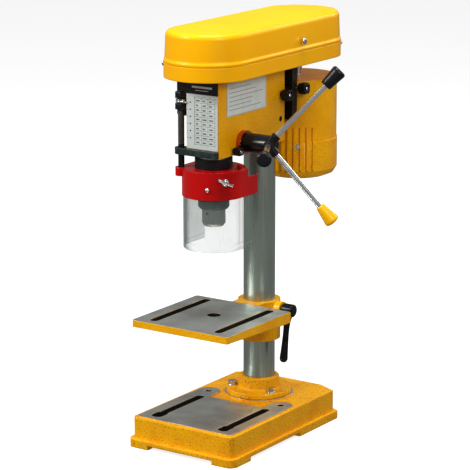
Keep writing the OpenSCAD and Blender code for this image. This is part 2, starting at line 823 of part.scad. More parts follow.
// Knob with lobes, axis along +X from x0, on a screw that starts at screw_x
module star_knob(screw_x, x0, y, z, r, screw_r) {
  rod_x(screw_x, x0 + 1, y, z, screw_r);
  rod_x(x0, x0 + 15, y, z, 0.72 * r);
  for (a = [45:90:315]) rod_x(x0 + 4, x0 + 15, y + 0.68 * r * cos(a), z + 0.68 * r * sin(a), 0.32 * r);
}

module quill_lock_knob() {
  color(black) star_knob(quill_r + gap, head_x + gap, quill_lock_y, quill_lock_z, quill_lock_r, 3);
}

module motor_lock_knob_right() {
  color(black) star_knob(slide_x + slide_r + gap, head_x + gap, slide_lock_y, slide_z, 12, 3);
}

module motor_lock_knob_left() {
  mirror([1, 0, 0]) motor_lock_knob_right();
}

module drive_sleeve() {
  color(steel) translate([0, -throat, 0])
    ring(drive_z + 1, sleeve_top_z - drive_z - 1, drive_r, spindle_d / 2 + run);
}

module drive_bearings() {
  color(steel) translate([0, -throat, 0]) for (z = [drive_z + 1, drive_z + 13])
    ring(z, 10, drive_bearing_r, drive_r + run);
}

// Stepped V pulley, radii listed from the bottom step up
module step_pulley(radii, bore) {
  difference() {
    rotate_extrude() polygon(concat(
      [[0, 0]],
      [for (i = [0:steps - 1], p = [[0, 0], [0, 1], [-5, 3], [-5, 7], [0, 9], [0, 10]])
        [radii[i] + p[0], i * step_h + p[1] * step_h / 10]],
      [[0, pulley_h]]
    ));
    translate([0, 0, -1]) cylinder(h = pulley_h + 2, r = bore);
  }
}

module spindle_pulley() {
  color(steel) translate([0, -throat, pulley_z])
    step_pulley([for (i = [0:steps - 1]) step_r(steps - 1 - i)], drive_r);
}

module motor_pulley() {
  color(steel) translate([0, motor_y, pulley_z])
    step_pulley([for (i = [0:steps - 1]) step_r(i)], shaft_r);
}

// Outline that wraps both pulleys on the running step, grown by d
module belt_plan(d) {
  r1 = spindle_belt_r + d;
  r2 = motor_belt_r + d;
  tilt = asin((r1 - r2) / (throat + motor_y));
  polygon(concat(arc(0, -throat, r1, 180 - tilt, 360 + tilt, 24), arc(0, motor_y, r2, tilt, 180 - tilt, 24)));
}

module drive_belt() {
  mid_z = pulley_z + (belt_step + 0.5) * step_h;
  color(black) {
    translate([0, 0, mid_z - 1.5]) linear_extrude(3) difference() {
      belt_plan(-2.5);
      belt_plan(-4.5);
    }
    translate([0, 0, mid_z - 2.6]) linear_extrude(5.2) difference() {
      belt_plan(1);
      belt_plan(-2.5);
    }
  }
}

// Belt cover outline, drawn in by inset
module cover_plan(inset) {
  r = cover_r - inset;
  translate([0, cover_front_y]) circle(r);
  translate([0, motor_y]) circle(r);
  translate([-r, cover_front_y]) square([2 * r, motor_y - cover_front_y]);
}

// Hinge knuckles of one half of the cover, at the given places along Y
module knuckles(places, reach) {
  for (y = places) {
    rod_y(y, y + knuckle_l, hinge_x, hinge_z, knuckle_r);
    translate([hinge_x, y, reach < 0 ? hinge_z + reach : hinge_z]) cube([hinge_reach, knuckle_l, abs(reach)]);
  }
}

module belt_tray() {
  color(yellow) difference() {
    union() {
      translate([0, 0, tray_z]) linear_extrude(tray_h - gap) cover_plan(0);
      knuckles([for (y = hinge_places) y + knuckle_l + gap], -8);
    }
    translate([0, 0, tray_z + cover_wall]) linear_extrude(tray_h) cover_plan(cover_wall);
    translate([0, -throat, tray_z - 1]) cylinder(h = 10, r = drive_r + 4);
    translate([0, 0, tray_z - 1]) linear_extrude(10) slot2d(0, motor_y - 24, motor_y + 24, 24);
    for (x = [-18, 18], y = tray_screw_places) translate([x, y, tray_z - 1]) cylinder(h = 10, r = 2.5);
    rod_y(cover_front_y, motor_y, hinge_x, hinge_z, pin_r);
  }
}

module tray_screws() {
  color(zinc) for (x = [-18, 18], y = tray_screw_places) translate([x, y, tray_z - 12]) {
    cylinder(h = 12 + cover_wall, r = 2.5);
    translate([0, 0, 12 + cover_wall]) cylinder(h = 2.5, r = 4.5);
  }
}

module belt_lid() {
  color(yellow) difference() {
    union() {
      translate([0, 0, lid_z]) linear_extrude(lid_top_z - lid_z - 5) cover_plan(0);
      translate([0, 0, lid_top_z - 5 - eps]) linear_extrude(5 + eps) cover_plan(4);
      knuckles(hinge_places, 8);
    }
    translate([0, 0, lid_z - 1]) linear_extrude(lid_top_z - lid_z + 1 - cover_wall - 5) cover_plan(cover_wall);
    translate([0, 0, lid_z - 1]) linear_extrude(lid_top_z - lid_z + 1 - cover_wall) cover_plan(cover_wall + 4);
    rod_y(cover_front_y, motor_y, hinge_x, hinge_z, pin_r + run);
    rod_x(cover_r - 10, cover_r + 2, latch_y, latch_z, 2.5 + run);
  }
}

module lid_hinge_pins() {
  color(zinc) for (y = hinge_places) rod_y(y, y + 2 * knuckle_l + gap, hinge_x, hinge_z, pin_r);
}

module lid_latch() {
  color(zinc) difference() {
    union() {
      rod_x(cover_r - 6, cover_r + gap, latch_y, latch_z, 2.5);
      rod_x(cover_r + gap, cover_r + 7, latch_y, latch_z, 5);
    }
    translate([cover_r + 5.5, latch_y - 6, latch_z - 0.7]) cube([3, 12, 1.4]);
  }
}

module motor_slide_bars() {
  color(steel) for (s = [-1, 1]) rod_y(-28, plate_y + plate_t, s * slide_x, slide_z, slide_r);
}

module motor_plate() {
  color(black) difference() {
    union() {
      translate([-head_x, plate_y, plate_low_z]) cube([head_w, plate_t, plate_top_z - plate_low_z]);
      translate([head_x - 1, plate_y, plate_low_z]) cube([4, plate_lip, plate_top_z - plate_low_z]);
    }
    for (s = [-1, 1]) rod_y(plate_y - 1, plate_y + plate_t + 1, s * slide_x, slide_z, slide_r);
    rod_x(head_x - 6, head_x + 6, knob_y, knob_z, 3 + run);
  }
}

module motor_plate_knob() {
  color(black) star_knob(head_x - 4, head_x + 9, knob_y, knob_z, 12, 3);
}

// Upright cooling ribs on the side of the motor that faces the head
module motor_ribs(z0, z1, r) {
  for (a = [-80:9:-35]) translate([0, motor_y, z0]) rotate(a) translate([r - 3, -1.5, 0]) cube([6, 3, z1 - z0]);
}

module motor_can() {
  z0 = motor_low_z + bell_h;
  color(yellow) difference() {
    union() {
      translate([0, motor_y, z0]) cylinder(h = motor_top_z - z0, r = motor_r);
      motor_ribs(z0, z0 + 22, motor_r);
      translate([-18, plate_y + plate_t, plate_low_z + 6]) cube([36, 12, 44]);
    }
    translate([0, motor_y, z0 - 1]) cylinder(h = motor_top_z - z0 - 3, r = motor_r - 4);
    translate([0, motor_y, z0]) cylinder(h = motor_l, r = shaft_r + run);
  }
}

module motor_bell() {
  color(yellow) difference() {
    union() {
      translate([0, motor_y, motor_low_z]) rotate_extrude() polygon([
        [0, 0], [motor_r - 14, 0], [motor_r - 4, 4], [motor_r + 1, 12], [motor_r + 1, bell_h], [0, bell_h]
      ]);
      motor_ribs(motor_low_z + 14, motor_low_z + bell_h, motor_r + 1);
    }
    translate([0, motor_y, motor_low_z + 4]) cylinder(h = bell_h, r = motor_r - 15);
    translate([0, motor_y, motor_low_z + 12]) cylinder(h = bell_h, r = motor_r - 4);
    translate([0, motor_y, motor_low_z - 1]) cylinder(h = 10, r = shaft_r + run);
    for (a = motor_screw_angles) translate([0, motor_y, 0]) rotate(a)
      rod_x(motor_r - 10, motor_r + 8, 0, motor_low_z + bell_h - 6, 2);
  }
}

module motor_screws() {
  color(zinc) for (a = motor_screw_angles) translate([0, motor_y, 0]) rotate(a) {
    rod_x(motor_r - 3, motor_r + 1, 0, motor_low_z + bell_h - 6, 2);
    rod_x(motor_r + 1, motor_r + 3, 0, motor_low_z + bell_h - 6, 4);
  }
}

module motor_rotor() {
  color(steel) translate([0, motor_y, 0]) {
    translate([0, 0, motor_low_z + 1]) cylinder(h = pulley_z + pulley_h - motor_low_z - 3, r = shaft_r);
    translate([0, 0, motor_low_z + 30]) cylinder(h = motor_l - 60, r = motor_r - 24);
  }
}

module switch_box() {
  color(black) difference() {
    translate([box_x, 0, 0]) rotate([90, 0, 90]) linear_extrude(-head_x - box_x)
      round_rect(box_y - 28, box_z - 26, box_y + 28, box_z + 26, 4);
    translate([box_x + 2.5, box_y - 25, box_z - 23]) cube([-head_x - box_x, 50, 46]);
    for (s = [-1, 1]) rod_x(box_x - 1, box_x + 5, box_y + s * 13, box_z, 8 + gap);
    rod_y(box_y + 20, box_y + 40, box_x + 12, box_z - 10, 5);
  }
}

// Push button number s, sprung out of the box
module button(s) {
  rod_x(box_x - 3, box_x + 12, box_y + s * 13, box_z, 8);
  rod_x(box_x + 4, box_x + 6, box_y + s * 13, box_z, 10);
}

module start_button() {
  color([0.1, 0.55, 0.2]) button(-1);
}

module stop_button() {
  color(red) button(1);
}

module cord_gland() {
  color(black) difference() {
    union() {
      rod_y(box_y + 23, box_y + 38, box_x + 12, box_z - 10, 5);
      rod_y(box_y + 28, box_y + 32, box_x + 12, box_z - 10, 8);
    }
    rod_y(box_y + 20, box_y + 40, box_x + 12, box_z - 10, 3.2);
  }
}

base();
column_flange();
flange_bolts();
column_set_screws();
column();
table();
table_lock_screw();
table_lock_lever();
head_casting();
front_plate();
side_plate();
depth_lug();
quill();
quill_collar();
quill_bearings();
spindle();
chuck_body();
chuck_sleeve();
chuck_jaw_1();
chuck_jaw_2();
chuck_jaw_3();
guard_hood();
guard_shield();
guard_lock_screw();
guard_screws();
depth_rod();
depth_nuts();
depth_pointer();
feed_shaft();
feed_ring();
feed_hub();
feed_arms();
feed_knobs();
feed_knob_yellow();
return_spring();
spring_housing();
quill_lock_knob();
drive_sleeve();
drive_bearings();
spindle_pulley();
motor_pulley();
drive_belt();
belt_tray();
tray_screws();
belt_lid();
lid_hinge_pins();
lid_latch();
motor_slide_bars();
motor_plate();
motor_can();
motor_bell();
motor_screws();
motor_rotor();
motor_lock_knob_right();
motor_lock_knob_left();
motor_plate_knob();
switch_box();
start_button();
stop_button();
cord_gland();
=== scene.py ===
"""Looks of a small bench drill press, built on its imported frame: enamel, ground iron, steel and mouldings."""

import json
import math

import bmesh
import bpy
import numpy as np
from bpy.props import FloatProperty, FloatVectorProperty, IntProperty, PointerProperty
from bpy.types import Operator, Panel, PropertyGroup
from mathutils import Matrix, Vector


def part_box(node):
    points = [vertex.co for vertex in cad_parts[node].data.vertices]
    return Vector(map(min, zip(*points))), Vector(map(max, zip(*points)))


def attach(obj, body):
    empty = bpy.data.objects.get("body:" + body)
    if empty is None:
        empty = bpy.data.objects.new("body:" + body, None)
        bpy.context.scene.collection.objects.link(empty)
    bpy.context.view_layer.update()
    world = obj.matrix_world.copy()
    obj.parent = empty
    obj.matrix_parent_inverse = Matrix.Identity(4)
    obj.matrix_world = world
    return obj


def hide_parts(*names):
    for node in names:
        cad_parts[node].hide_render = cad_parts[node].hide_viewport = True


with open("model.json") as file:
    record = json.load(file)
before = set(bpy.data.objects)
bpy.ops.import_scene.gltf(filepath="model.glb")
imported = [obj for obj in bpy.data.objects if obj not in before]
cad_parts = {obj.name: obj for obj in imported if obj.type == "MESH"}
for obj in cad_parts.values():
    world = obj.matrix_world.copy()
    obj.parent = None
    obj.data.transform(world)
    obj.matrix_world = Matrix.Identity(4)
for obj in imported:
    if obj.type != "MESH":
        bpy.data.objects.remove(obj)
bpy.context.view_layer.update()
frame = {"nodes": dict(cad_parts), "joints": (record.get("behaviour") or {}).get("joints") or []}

bl_info = {
    "name": "Bench Drill Press Looks",
    "version": (1, 0, 0),
    "blender": (4, 5, 0),
    "location": "View3D > Sidebar > Drill Press",
    "description": "Detailed surfaces, finishes and studio for a bench drill press",
    "category": "Object",
}


def node_box(name):
    """Lowest and highest corner of a CAD node, as arrays in metres."""
    low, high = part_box(name)
    return np.array(low), np.array(high)


def node_middle(name):
    """Middle of a CAD node's box."""
    low, high = node_box(name)
    return (low + high) / 2


# ---------------------------------------------------------------- surfaces


def axes_about(direction):
    """Two unit vectors square to a direction and to each other, and the direction made unit."""
    along = np.array(direction, float)
    along /= np.linalg.norm(along)
    side = np.cross(along, [0.0, 0.0, 1.0] if abs(along[2]) < 0.9 else [1.0, 0.0, 0.0])
    side /= np.linalg.norm(side)
    return side, np.cross(along, side), along


def turned(profile, origin, direction, count=64, swell=None):
    """Surface of revolution: point = origin + r (cos t a + sin t b) + h c for the rows (r, h) of the profile.
    swell(t, r, h) may scale the radius round the turn, for lobes and flutes."""
    a, b, c = axes_about(direction)
    r, h = np.array(profile, float).T
    t = np.linspace(0, 2 * np.pi, count, endpoint=False)
    radius = r[:, None] * (1 if swell is None else swell(t[None, :], r[:, None], h[:, None]))
    ring = np.cos(t)[None, :, None] * a + np.sin(t)[None, :, None] * b
    return np.array(origin, float) + radius[..., None] * ring + h[:, None, None] * c


def piped(path, radii, reference, count=32):
    """Tube on a path: point = p(s) + r(s) (cos t m + sin t n), with m the fixed reference
    and n square to m and the tangent."""
    path, m = np.array(path, float), np.array(reference, float)
    tangent = np.gradient(path, axis=0)
    n = np.cross(tangent, m)
    n /= np.linalg.norm(n, axis=1)[:, None]
    t = np.linspace(0, 2 * np.pi, count, endpoint=False)
    ring = np.cos(t)[None, :, None] * m + np.sin(t)[None, :, None] * n[:, None, :]
    return path[:, None, :] + np.array(radii, float)[:, None, None] * ring


def soft_block(low, high, hardness=0.16, count=40):
    """Superellipsoid that fills a box, with the signs kept:
    x = A |cos v|^e |cos u|^e, y = B |cos v|^e |sin u|^e, z = C |sin v|^e."""
    low, high = np.array(low, float), np.array(high, float)
    u = np.linspace(-np.pi, np.pi, count, endpoint=False)[None, :]
    v = np.linspace(-np.pi / 2, np.pi / 2, count // 2 + 1)[:, None]

    def power(x):
        return np.sign(x) * np.abs(np.where(np.abs(x) < 1e-9, 0, x)) ** hardness

    level = power(np.cos(v))
    x, y, z = level * power(np.cos(u)), level * power(np.sin(u)), power(np.sin(v))
    unit = np.stack(np.broadcast_arrays(x, y, z), -1)
    return (low + high) / 2 + unit * (high - low) / 2


def stadium(inset, radius, front, back, arc=48):
    """Outline of a box with two half-round ends: (r cos t, centre + r sin t), with
    r = radius - inset for each row of inset."""
    t = np.concatenate([np.linspace(-np.pi, 0, arc), np.linspace(0, np.pi, arc)])
    centre = np.repeat([front, back], arc)
    r = radius - np.array(inset, float)[:, None]
    return r * np.cos(t), centre + r * np.sin(t)


def rounded(start, end, steps=8):
    """Quarter of an ellipse from start to end as (inset, height) rows, level at start and upright at end."""
    t = np.linspace(0, np.pi / 2, steps)
    (x0, y0), (x1, y1) = start, end
    return np.stack([x0 + (x1 - x0) * np.sin(t), y1 + (y0 - y1) * np.cos(t)], -1)


def make_piece(name, grids, material, body, stands_for=(), crease=38):
    """One mesh from grids of points whose columns close on themselves, with doubles merged,
    faces outwards and edges over the crease angle kept sharp."""
    points, faces, offset = [], [], 0
    for grid in grids:
        rows, columns = grid.shape[:2]
        i, j = np.arange(rows - 1)[:, None], np.arange(columns)[None, :]
        k = (j + 1) % columns
        quads = np.stack([i * columns + j, i * columns + k, (i + 1) * columns + k, (i + 1) * columns + j], -1)
        points.append(grid.reshape(-1, 3))
        faces.append(quads.reshape(-1, 4) + offset)
        offset += rows * columns
    mesh = bpy.data.meshes.new(name)
    mesh.from_pydata(np.concatenate(points).tolist(), [], np.concatenate(faces).tolist())
    work = bmesh.new()
    work.from_mesh(mesh)
    bmesh.ops.remove_doubles(work, verts=work.verts, dist=2e-6)
    bmesh.ops.dissolve_degenerate(work, edges=work.edges, dist=1e-7)
    bmesh.ops.recalc_face_normals(work, faces=work.faces)
    work.to_mesh(mesh)
    work.free()
    mesh.polygons.foreach_set("use_smooth", np.ones(len(mesh.polygons), bool))
    mesh.set_sharp_from_angle(angle=math.radians(crease))
    mesh.materials.append(material)
    piece = bpy.data.objects.new(name, mesh)
    bpy.context.scene.collection.objects.link(piece)
    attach(piece, body)
    if stands_for:
        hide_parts(*stands_for)
    return piece


# ---------------------------------------------------------------- shader maths


class Field:
    """A number that varies over a surface. Python's operators on it add Math nodes."""

    def __init__(self, paint, socket):
        self.paint, self.socket = paint, socket

    def maths(self, operation, *values, clamp=False):
        settings = {"operation": operation, "use_clamp": clamp}
        return self.paint.node("ShaderNodeMath", settings, dict(enumerate(values)))

    def __add__(self, other):
        return self.maths("ADD", self, other)

    def __sub__(self, other):
        return self.maths("SUBTRACT", self, other)

    def __rsub__(self, other):
        return self.maths("SUBTRACT", other, self)

    def __mul__(self, other):
        return self.maths("MULTIPLY", self, other)

    def __truediv__(self, other):
        return self.maths("DIVIDE", self, other)

    def __rtruediv__(self, other):
        return self.maths("DIVIDE", other, self)

    def __mod__(self, other):
        return self.maths("FLOORED_MODULO", self, other)

    def __gt__(self, other):
        return self.maths("GREATER_THAN", self, other)

    def __lt__(self, other):
        return self.maths("LESS_THAN", self, other)

    def __abs__(self):
        return self.maths("ABSOLUTE", self)

    __radd__, __rmul__ = __add__, __mul__

    def floor(self):
        return self.maths("FLOOR", self)

    def sine(self):
        return self.maths("SINE", self)

    def root(self):
        return self.maths("SQRT", self)

    def clipped(self):
        return self.maths("ADD", self, 0.0, clamp=True)

    def rises(self, low, high):
        """0 below low and 1 above high, smooth between; low above high turns it round."""
        settings = {"interpolation_type": "SMOOTHSTEP"}
        return self.paint.node("ShaderNodeMapRange", settings, {0: self, 1: low, 2: high})

    def within(self, low, high):
        """1 between low and high, else 0."""
        return (self > low) * (self < high)


class Paint:
    """A material under construction, with its object coordinates x, y and z in metres."""

    def __init__(self, name, **sockets):
        self.material = bpy.data.materials.new(name)
        self.material.use_nodes = True
        self.tree = self.material.node_tree
        self.shader = self.tree.nodes["Principled BSDF"]
        self.place = self.node("ShaderNodeTexCoord", {}, {}, "Object")
        parts = [self.node("ShaderNodeSeparateXYZ", {}, {0: self.place}, k) for k in range(3)]
        self.x, self.y, self.z = parts
        self.put(**sockets)

    def node(self, kind, settings, inputs, output=0):
        """Adds a node, first its settings and then the values or links of its sockets,
        and gives one output."""
        made = self.tree.nodes.new(kind)
        for key, value in settings.items():
            setattr(made, key, value)
        for key, value in inputs.items():
            self.join(made.inputs[key], value)
        return Field(self, made.outputs[output])

    def join(self, socket, value):
        if isinstance(value, Field):
            self.tree.links.new(value.socket, socket)
        elif isinstance(value, (tuple, list)) and len(value) == 3 and socket.type == "RGBA":
            socket.default_value = (*value, 1.0)
        else:
            socket.default_value = value

    def put(self, **sockets):
        """Sets or links the surface shader's sockets; Base_Color stands for Base Color."""
        for key, value in sockets.items():
            self.join(self.shader.inputs[key.replace("_", " ")], value)

    def mix(self, share, first, second):
        """Colour that goes from first to second as share goes from 0 to 1."""
        return self.node("ShaderNodeMix", {"data_type": "RGBA"}, {0: share, 6: first, 7: second}, 2)

    def noise(self, scale, detail=2.0, stretch=(1, 1, 1)):
        """Smooth noise from 0 to 1 with about scale lumps a metre, stretched by the three factors."""
        place = self.node("ShaderNodeVectorMath", {"operation": "MULTIPLY"}, {0: self.place, 1: stretch})
        return self.node("ShaderNodeTexNoise", {}, {"Vector": place, "Scale": scale, "Detail": detail})

    def lines(self, along, scale):
        """Noise of one coordinate alone, as turning or grinding leaves on metal."""
        inputs = {"W": along * scale, "Scale": 1.0, "Detail": 3.0}
        return self.node("ShaderNodeTexNoise", {"noise_dimensions": "1D"}, inputs)

    def soft_edges(self, radius):
        """Normal that rounds the edges by a radius."""
        return self.node("ShaderNodeBevel", {"samples": 6}, {"Radius": radius})

    def edge_mask(self, soft):
        """0 on faces and up to 1 on edges: one minus the dot product of the rounded and the
        plain normal, made steeper."""
        plain = self.node("ShaderNodeNewGeometry", {}, {}, "Normal")
        dot = self.node("ShaderNodeVectorMath", {"operation": "DOT_PRODUCT"}, {0: soft, 1: plain}, "Value")
        return ((1 - dot) * 5).clipped()

    def bump(self, height, distance, normal=None):
        """Normal tilted by a height from 0 to 1 over a depth in metres."""
        inputs = {"Strength": 1.0, "Distance": distance, "Height": height}
        if normal is not None:
            inputs["Normal"] = normal
        return self.node("ShaderNodeBump", {}, inputs)

    def facing_up(self):
        """1 on level faces that look up."""
        normal = self.node("ShaderNodeNewGeometry", {}, {}, "Normal")
        return self.node("ShaderNodeSeparateXYZ", {}, {0: normal}, 2) > 0.9


def looks():
    return bpy.context.scene.press_colours


def shade(colour, factor):
    """A colour made darker or lighter by a factor."""
    return tuple(min(1.0, c * factor) for c in colour)


def slot_mask(paint, openings):
    """1 inside upright openings, each (x, y, half width, half length) of a slot along Y in metres."""
    inside = None
    for x, y, half_x, half_y in openings:
        one = paint.x.within(x - half_x, x + half_x) * paint.y.within(y - half_y, y + half_y)
        inside = one if inside is None else inside + one
    return inside.clipped()


def cast_enamel(name, grit_and_shade=1.0, radius=0.0016, machined=None, openings=()):
    """Thick enamel on a casting: blotches and sand grain under gloss, thin paint on the edges.
    machined = (height, pattern) makes level faces above that height ground iron, with rings
    or straight lines that are partly a real pattern and partly a painted sheen; openings then
    lists its slots and holes, whose walls below that height are painted near black as painted shade."""
    paint = Paint(name, IOR=1.5, Specular_IOR_Level=0.3, Coat_IOR=1.4, Coat_Roughness=0.12)
    colour = tuple(looks().enamel)
    soft = paint.soft_edges(radius)
    edge = paint.edge_mask(soft)
    blotch, grain = paint.noise(26), paint.noise(620, 4.0)
    orange_peel, sand = paint.noise(190), paint.noise(430, 5.0)
    deep = (colour[0] * 0.86, colour[1] * 0.68, colour[2] * 0.4)
    skin = paint.mix(blotch.rises(0.35, 0.75) * 0.6, colour, deep)
    dirt_and_shade, primer = (colour[0] * 0.5, colour[1] * 0.34, 0.001), (0.28, 0.1, 0.01)
    # Sand specks mixed to dark brown: real sand grain, and where the amount is set high, as on the base and the
    # flange, also painted shade.
    skin = paint.mix((sand.rises(0.5, 0.72) * 0.5 * grit_and_shade).clipped(), skin, dirt_and_shade)
    skin = paint.mix(edge * grain.rises(0.62, 0.72) * 0.6, skin, primer)
    roughness = 0.26 + grain * 0.2 * grit_and_shade + blotch * 0.08
    relief = orange_peel * 0.5 + (grain * 0.5 + sand * 0.5) * grit_and_shade
    metal, coat = 0.0, 0.2
    if machined:
        height, pattern = machined
        bare = (paint.z > height) * paint.facing_up()
        if pattern == "rings":
            centre = node_middle("chuck_body")
            across, along = paint.x - float(centre[0]), paint.y - float(centre[1])
            marks = paint.lines((across * across + along * along).root(), 1500.0)
        else:
            marks = paint.lines(paint.x * 0.35 + paint.y, 1300.0)
        iron_patches = paint.noise(22, 3.0)
        ground = tuple(looks().ground_iron)
        # Ground iron: random darker patches, and grinding marks in a paler grey that are partly a real pattern and
        # partly a painted sheen.
        iron = paint.mix(iron_patches.rises(0.3, 0.75), shade(ground, 1.1), shade(ground, 0.5))
        iron = paint.mix(marks.rises(0.3, 0.75) * 0.75, iron, shade(ground, 1.5))
        skin = paint.mix(bare, skin, iron)
        roughness = roughness * (1 - bare) + bare * (0.3 + iron_patches * 0.16)
        relief = relief * (1 - bare) + bare * marks * 0.5
        metal, coat = bare, coat - bare * coat
    if openings:
        # Painted shade: the walls of the slots and holes below the ground face are painted near black.
        wall = slot_mask(paint, openings) * (paint.z < machined[0])
        skin = paint.mix(wall, skin, (0.012, 0.01, 0.008))
        roughness = roughness * (1 - wall) + wall * 0.8
        coat = coat * (1 - wall)
    paint.put(Base_Color=skin, Roughness=roughness, Normal=paint.bump(relief, 0.0004, soft))
    paint.put(Metallic=metal, Coat_Weight=coat)
    return paint.material


def pressed_enamel(name, radius=0.0012):
    """Enamel on pressed sheet: a faint orange peel, small dust specks and a glossy top."""
    paint = Paint(name, IOR=1.5, Specular_IOR_Level=0.22, Coat_IOR=1.4, Coat_Roughness=0.08)
    colour = tuple(looks().enamel)
    soft = paint.soft_edges(radius)
    peel, cloud, dust = paint.noise(260), paint.noise(9, 1.0), paint.noise(1500, 1.0)
    skin = paint.mix(cloud.rises(0.3, 0.8) * 0.5, colour, (colour[0] * 0.97, colour[1] * 0.82, colour[2]))
    skin = paint.mix(dust.rises(0.8, 0.86) * 0.5, skin, shade(colour, 0.45))
    paint.put(Base_Color=skin, Roughness=0.3 + peel * 0.12 + cloud * 0.06, Coat_Weight=0.12)
    paint.put(Normal=paint.bump(peel + cloud * 3, 0.00012, soft))
    return paint.material


def drawn_steel(name, colour, roughness=0.28, along=(1, 1, 0.03), turned_along=None, radius=0.0006):
    """Bright steel: long faint streaks, dull patches and fine rings along the coordinate turned_along."""
    paint = Paint(name, Metallic=1.0, IOR=2.5)
    soft = paint.soft_edges(radius)
    streak, patch, speck = paint.noise(420, 3.0, along), paint.noise(30, 2.0), paint.noise(900, 2.0)
    skin = paint.mix(streak.rises(0.3, 0.8) * 0.5, tuple(colour), shade(colour, 0.66))
    skin = paint.mix(speck.rises(0.7, 0.8) * 0.35, skin, shade(colour, 0.3))
    relief = streak
    if turned_along:
        relief = relief * 0.4 + paint.lines(getattr(paint, turned_along), 2600.0) * 0.8
    paint.put(Base_Color=skin, Roughness=roughness + patch * 0.12 + streak * 0.1)
    paint.put(Normal=paint.bump(relief, 0.00004, soft))
    return paint.material


def bright_plate(name, colour, roughness=0.1):
    """Chrome or zinc plate: almost a mirror, with a faint cloud and a few dull specks."""
    paint = Paint(name, Metallic=1.0)
    soft = paint.soft_edges(0.0005)
    cloud, speck = paint.noise(120, 2.0), paint.noise(1300, 2.0)
    paint.put(Base_Color=paint.mix(speck.rises(0.7, 0.84) * 0.3, tuple(colour), shade(colour, 0.6)))
    paint.put(Roughness=roughness + cloud * 0.14, Normal=paint.bump(cloud, 0.00003, soft))
    return paint.material


def moulding(name, colour, roughness=0.24, grain=0.5, radius=0.0007):
    """Moulded plastic: a fine grain, a slow waviness and soft edges painted paler, partly wear and partly a painted
    highlight.
    """
    paint = Paint(name, IOR=1.48, Specular_IOR_Level=0.35)
    soft = paint.soft_edges(radius)
    edge = paint.edge_mask(soft)
    wave, fine = paint.noise(70, 1.0), paint.noise(1700, 2.0)
    lighter = tuple(min(1.0, c * 1.5 + 0.03) for c in colour)
    # Edges mixed to a paler colour: partly wear and partly a painted highlight.
    paint.put(Base_Color=paint.mix(edge * 0.6 * wave.rises(0.3, 0.7), tuple(colour), lighter))
    paint.put(Roughness=roughness + fine * 0.12 + wave * 0.1)
    paint.put(Normal=paint.bump(wave * 0.7 + fine * 0.3 * grain, 0.0001, soft))
    return paint.material


def dark_iron(name, colour, roughness=0.4, thread=None):
    """Blackened or phosphated iron with a mottled skin.
    thread = (low, high, pitch) cuts a screw thread between two heights."""
    paint = Paint(name, Metallic=0.6)
    soft = paint.soft_edges(0.0007)
    edge = paint.edge_mask(soft)
    mottle, grain = paint.noise(160, 4.0), paint.noise(1100, 2.0)
    skin = paint.mix(mottle.rises(0.3, 0.8), tuple(colour), shade(colour, 2.1))
    # Edges mixed to a grey: partly wear of the black finish and partly a painted highlight.
    skin = paint.mix(edge * 0.5, skin, (0.3, 0.3, 0.3))
    normal = paint.bump(grain, 0.0001, soft)
    if thread:
        low, high, pitch = thread
        ridge = (paint.z * (2 * math.pi / pitch)).sine() * 0.5 + 0.5
        cut = paint.z.within(low, high)
        normal = paint.bump(ridge * cut, 0.0005, normal)
        # Thread crests mixed to a grey: partly wear and partly a painted highlight.
        skin = paint.mix(ridge * cut * 0.5, skin, (0.35, 0.35, 0.35))
    paint.put(Base_Color=skin, Roughness=roughness + mottle * 0.2, Normal=normal)
    return paint.material


def clear_moulding(name):
    """Clear polycarbonate with faint scuffs: nearly all light goes through face on and little
    at a grazing angle."""
    paint = Paint(name, IOR=1.58, Specular_IOR_Level=0.9)
    facing = paint.node("ShaderNodeLayerWeight", {}, {"Blend": 0.5}, "Facing")
    haze, scuff = paint.noise(45, 2.0), paint.noise(500, 3.0, (1, 1, 0.12))
    cloudy = haze * 0.08 + scuff.rises(0.6, 0.8) * 0.16
    tint = tuple(looks().clear_tint)
    paint.put(Base_Color=paint.mix(facing.rises(0.25, 0.95), tint, shade(tint, 0.4)))
    cover = 0.15 + facing.rises(0.3, 0.95) * 0.6 + cloudy * 0.8
    paint.put(Roughness=0.06 + scuff * 0.12, Alpha=cover.clipped())
    paint.put(Normal=paint.bump(haze, 0.0002))
    return paint.material


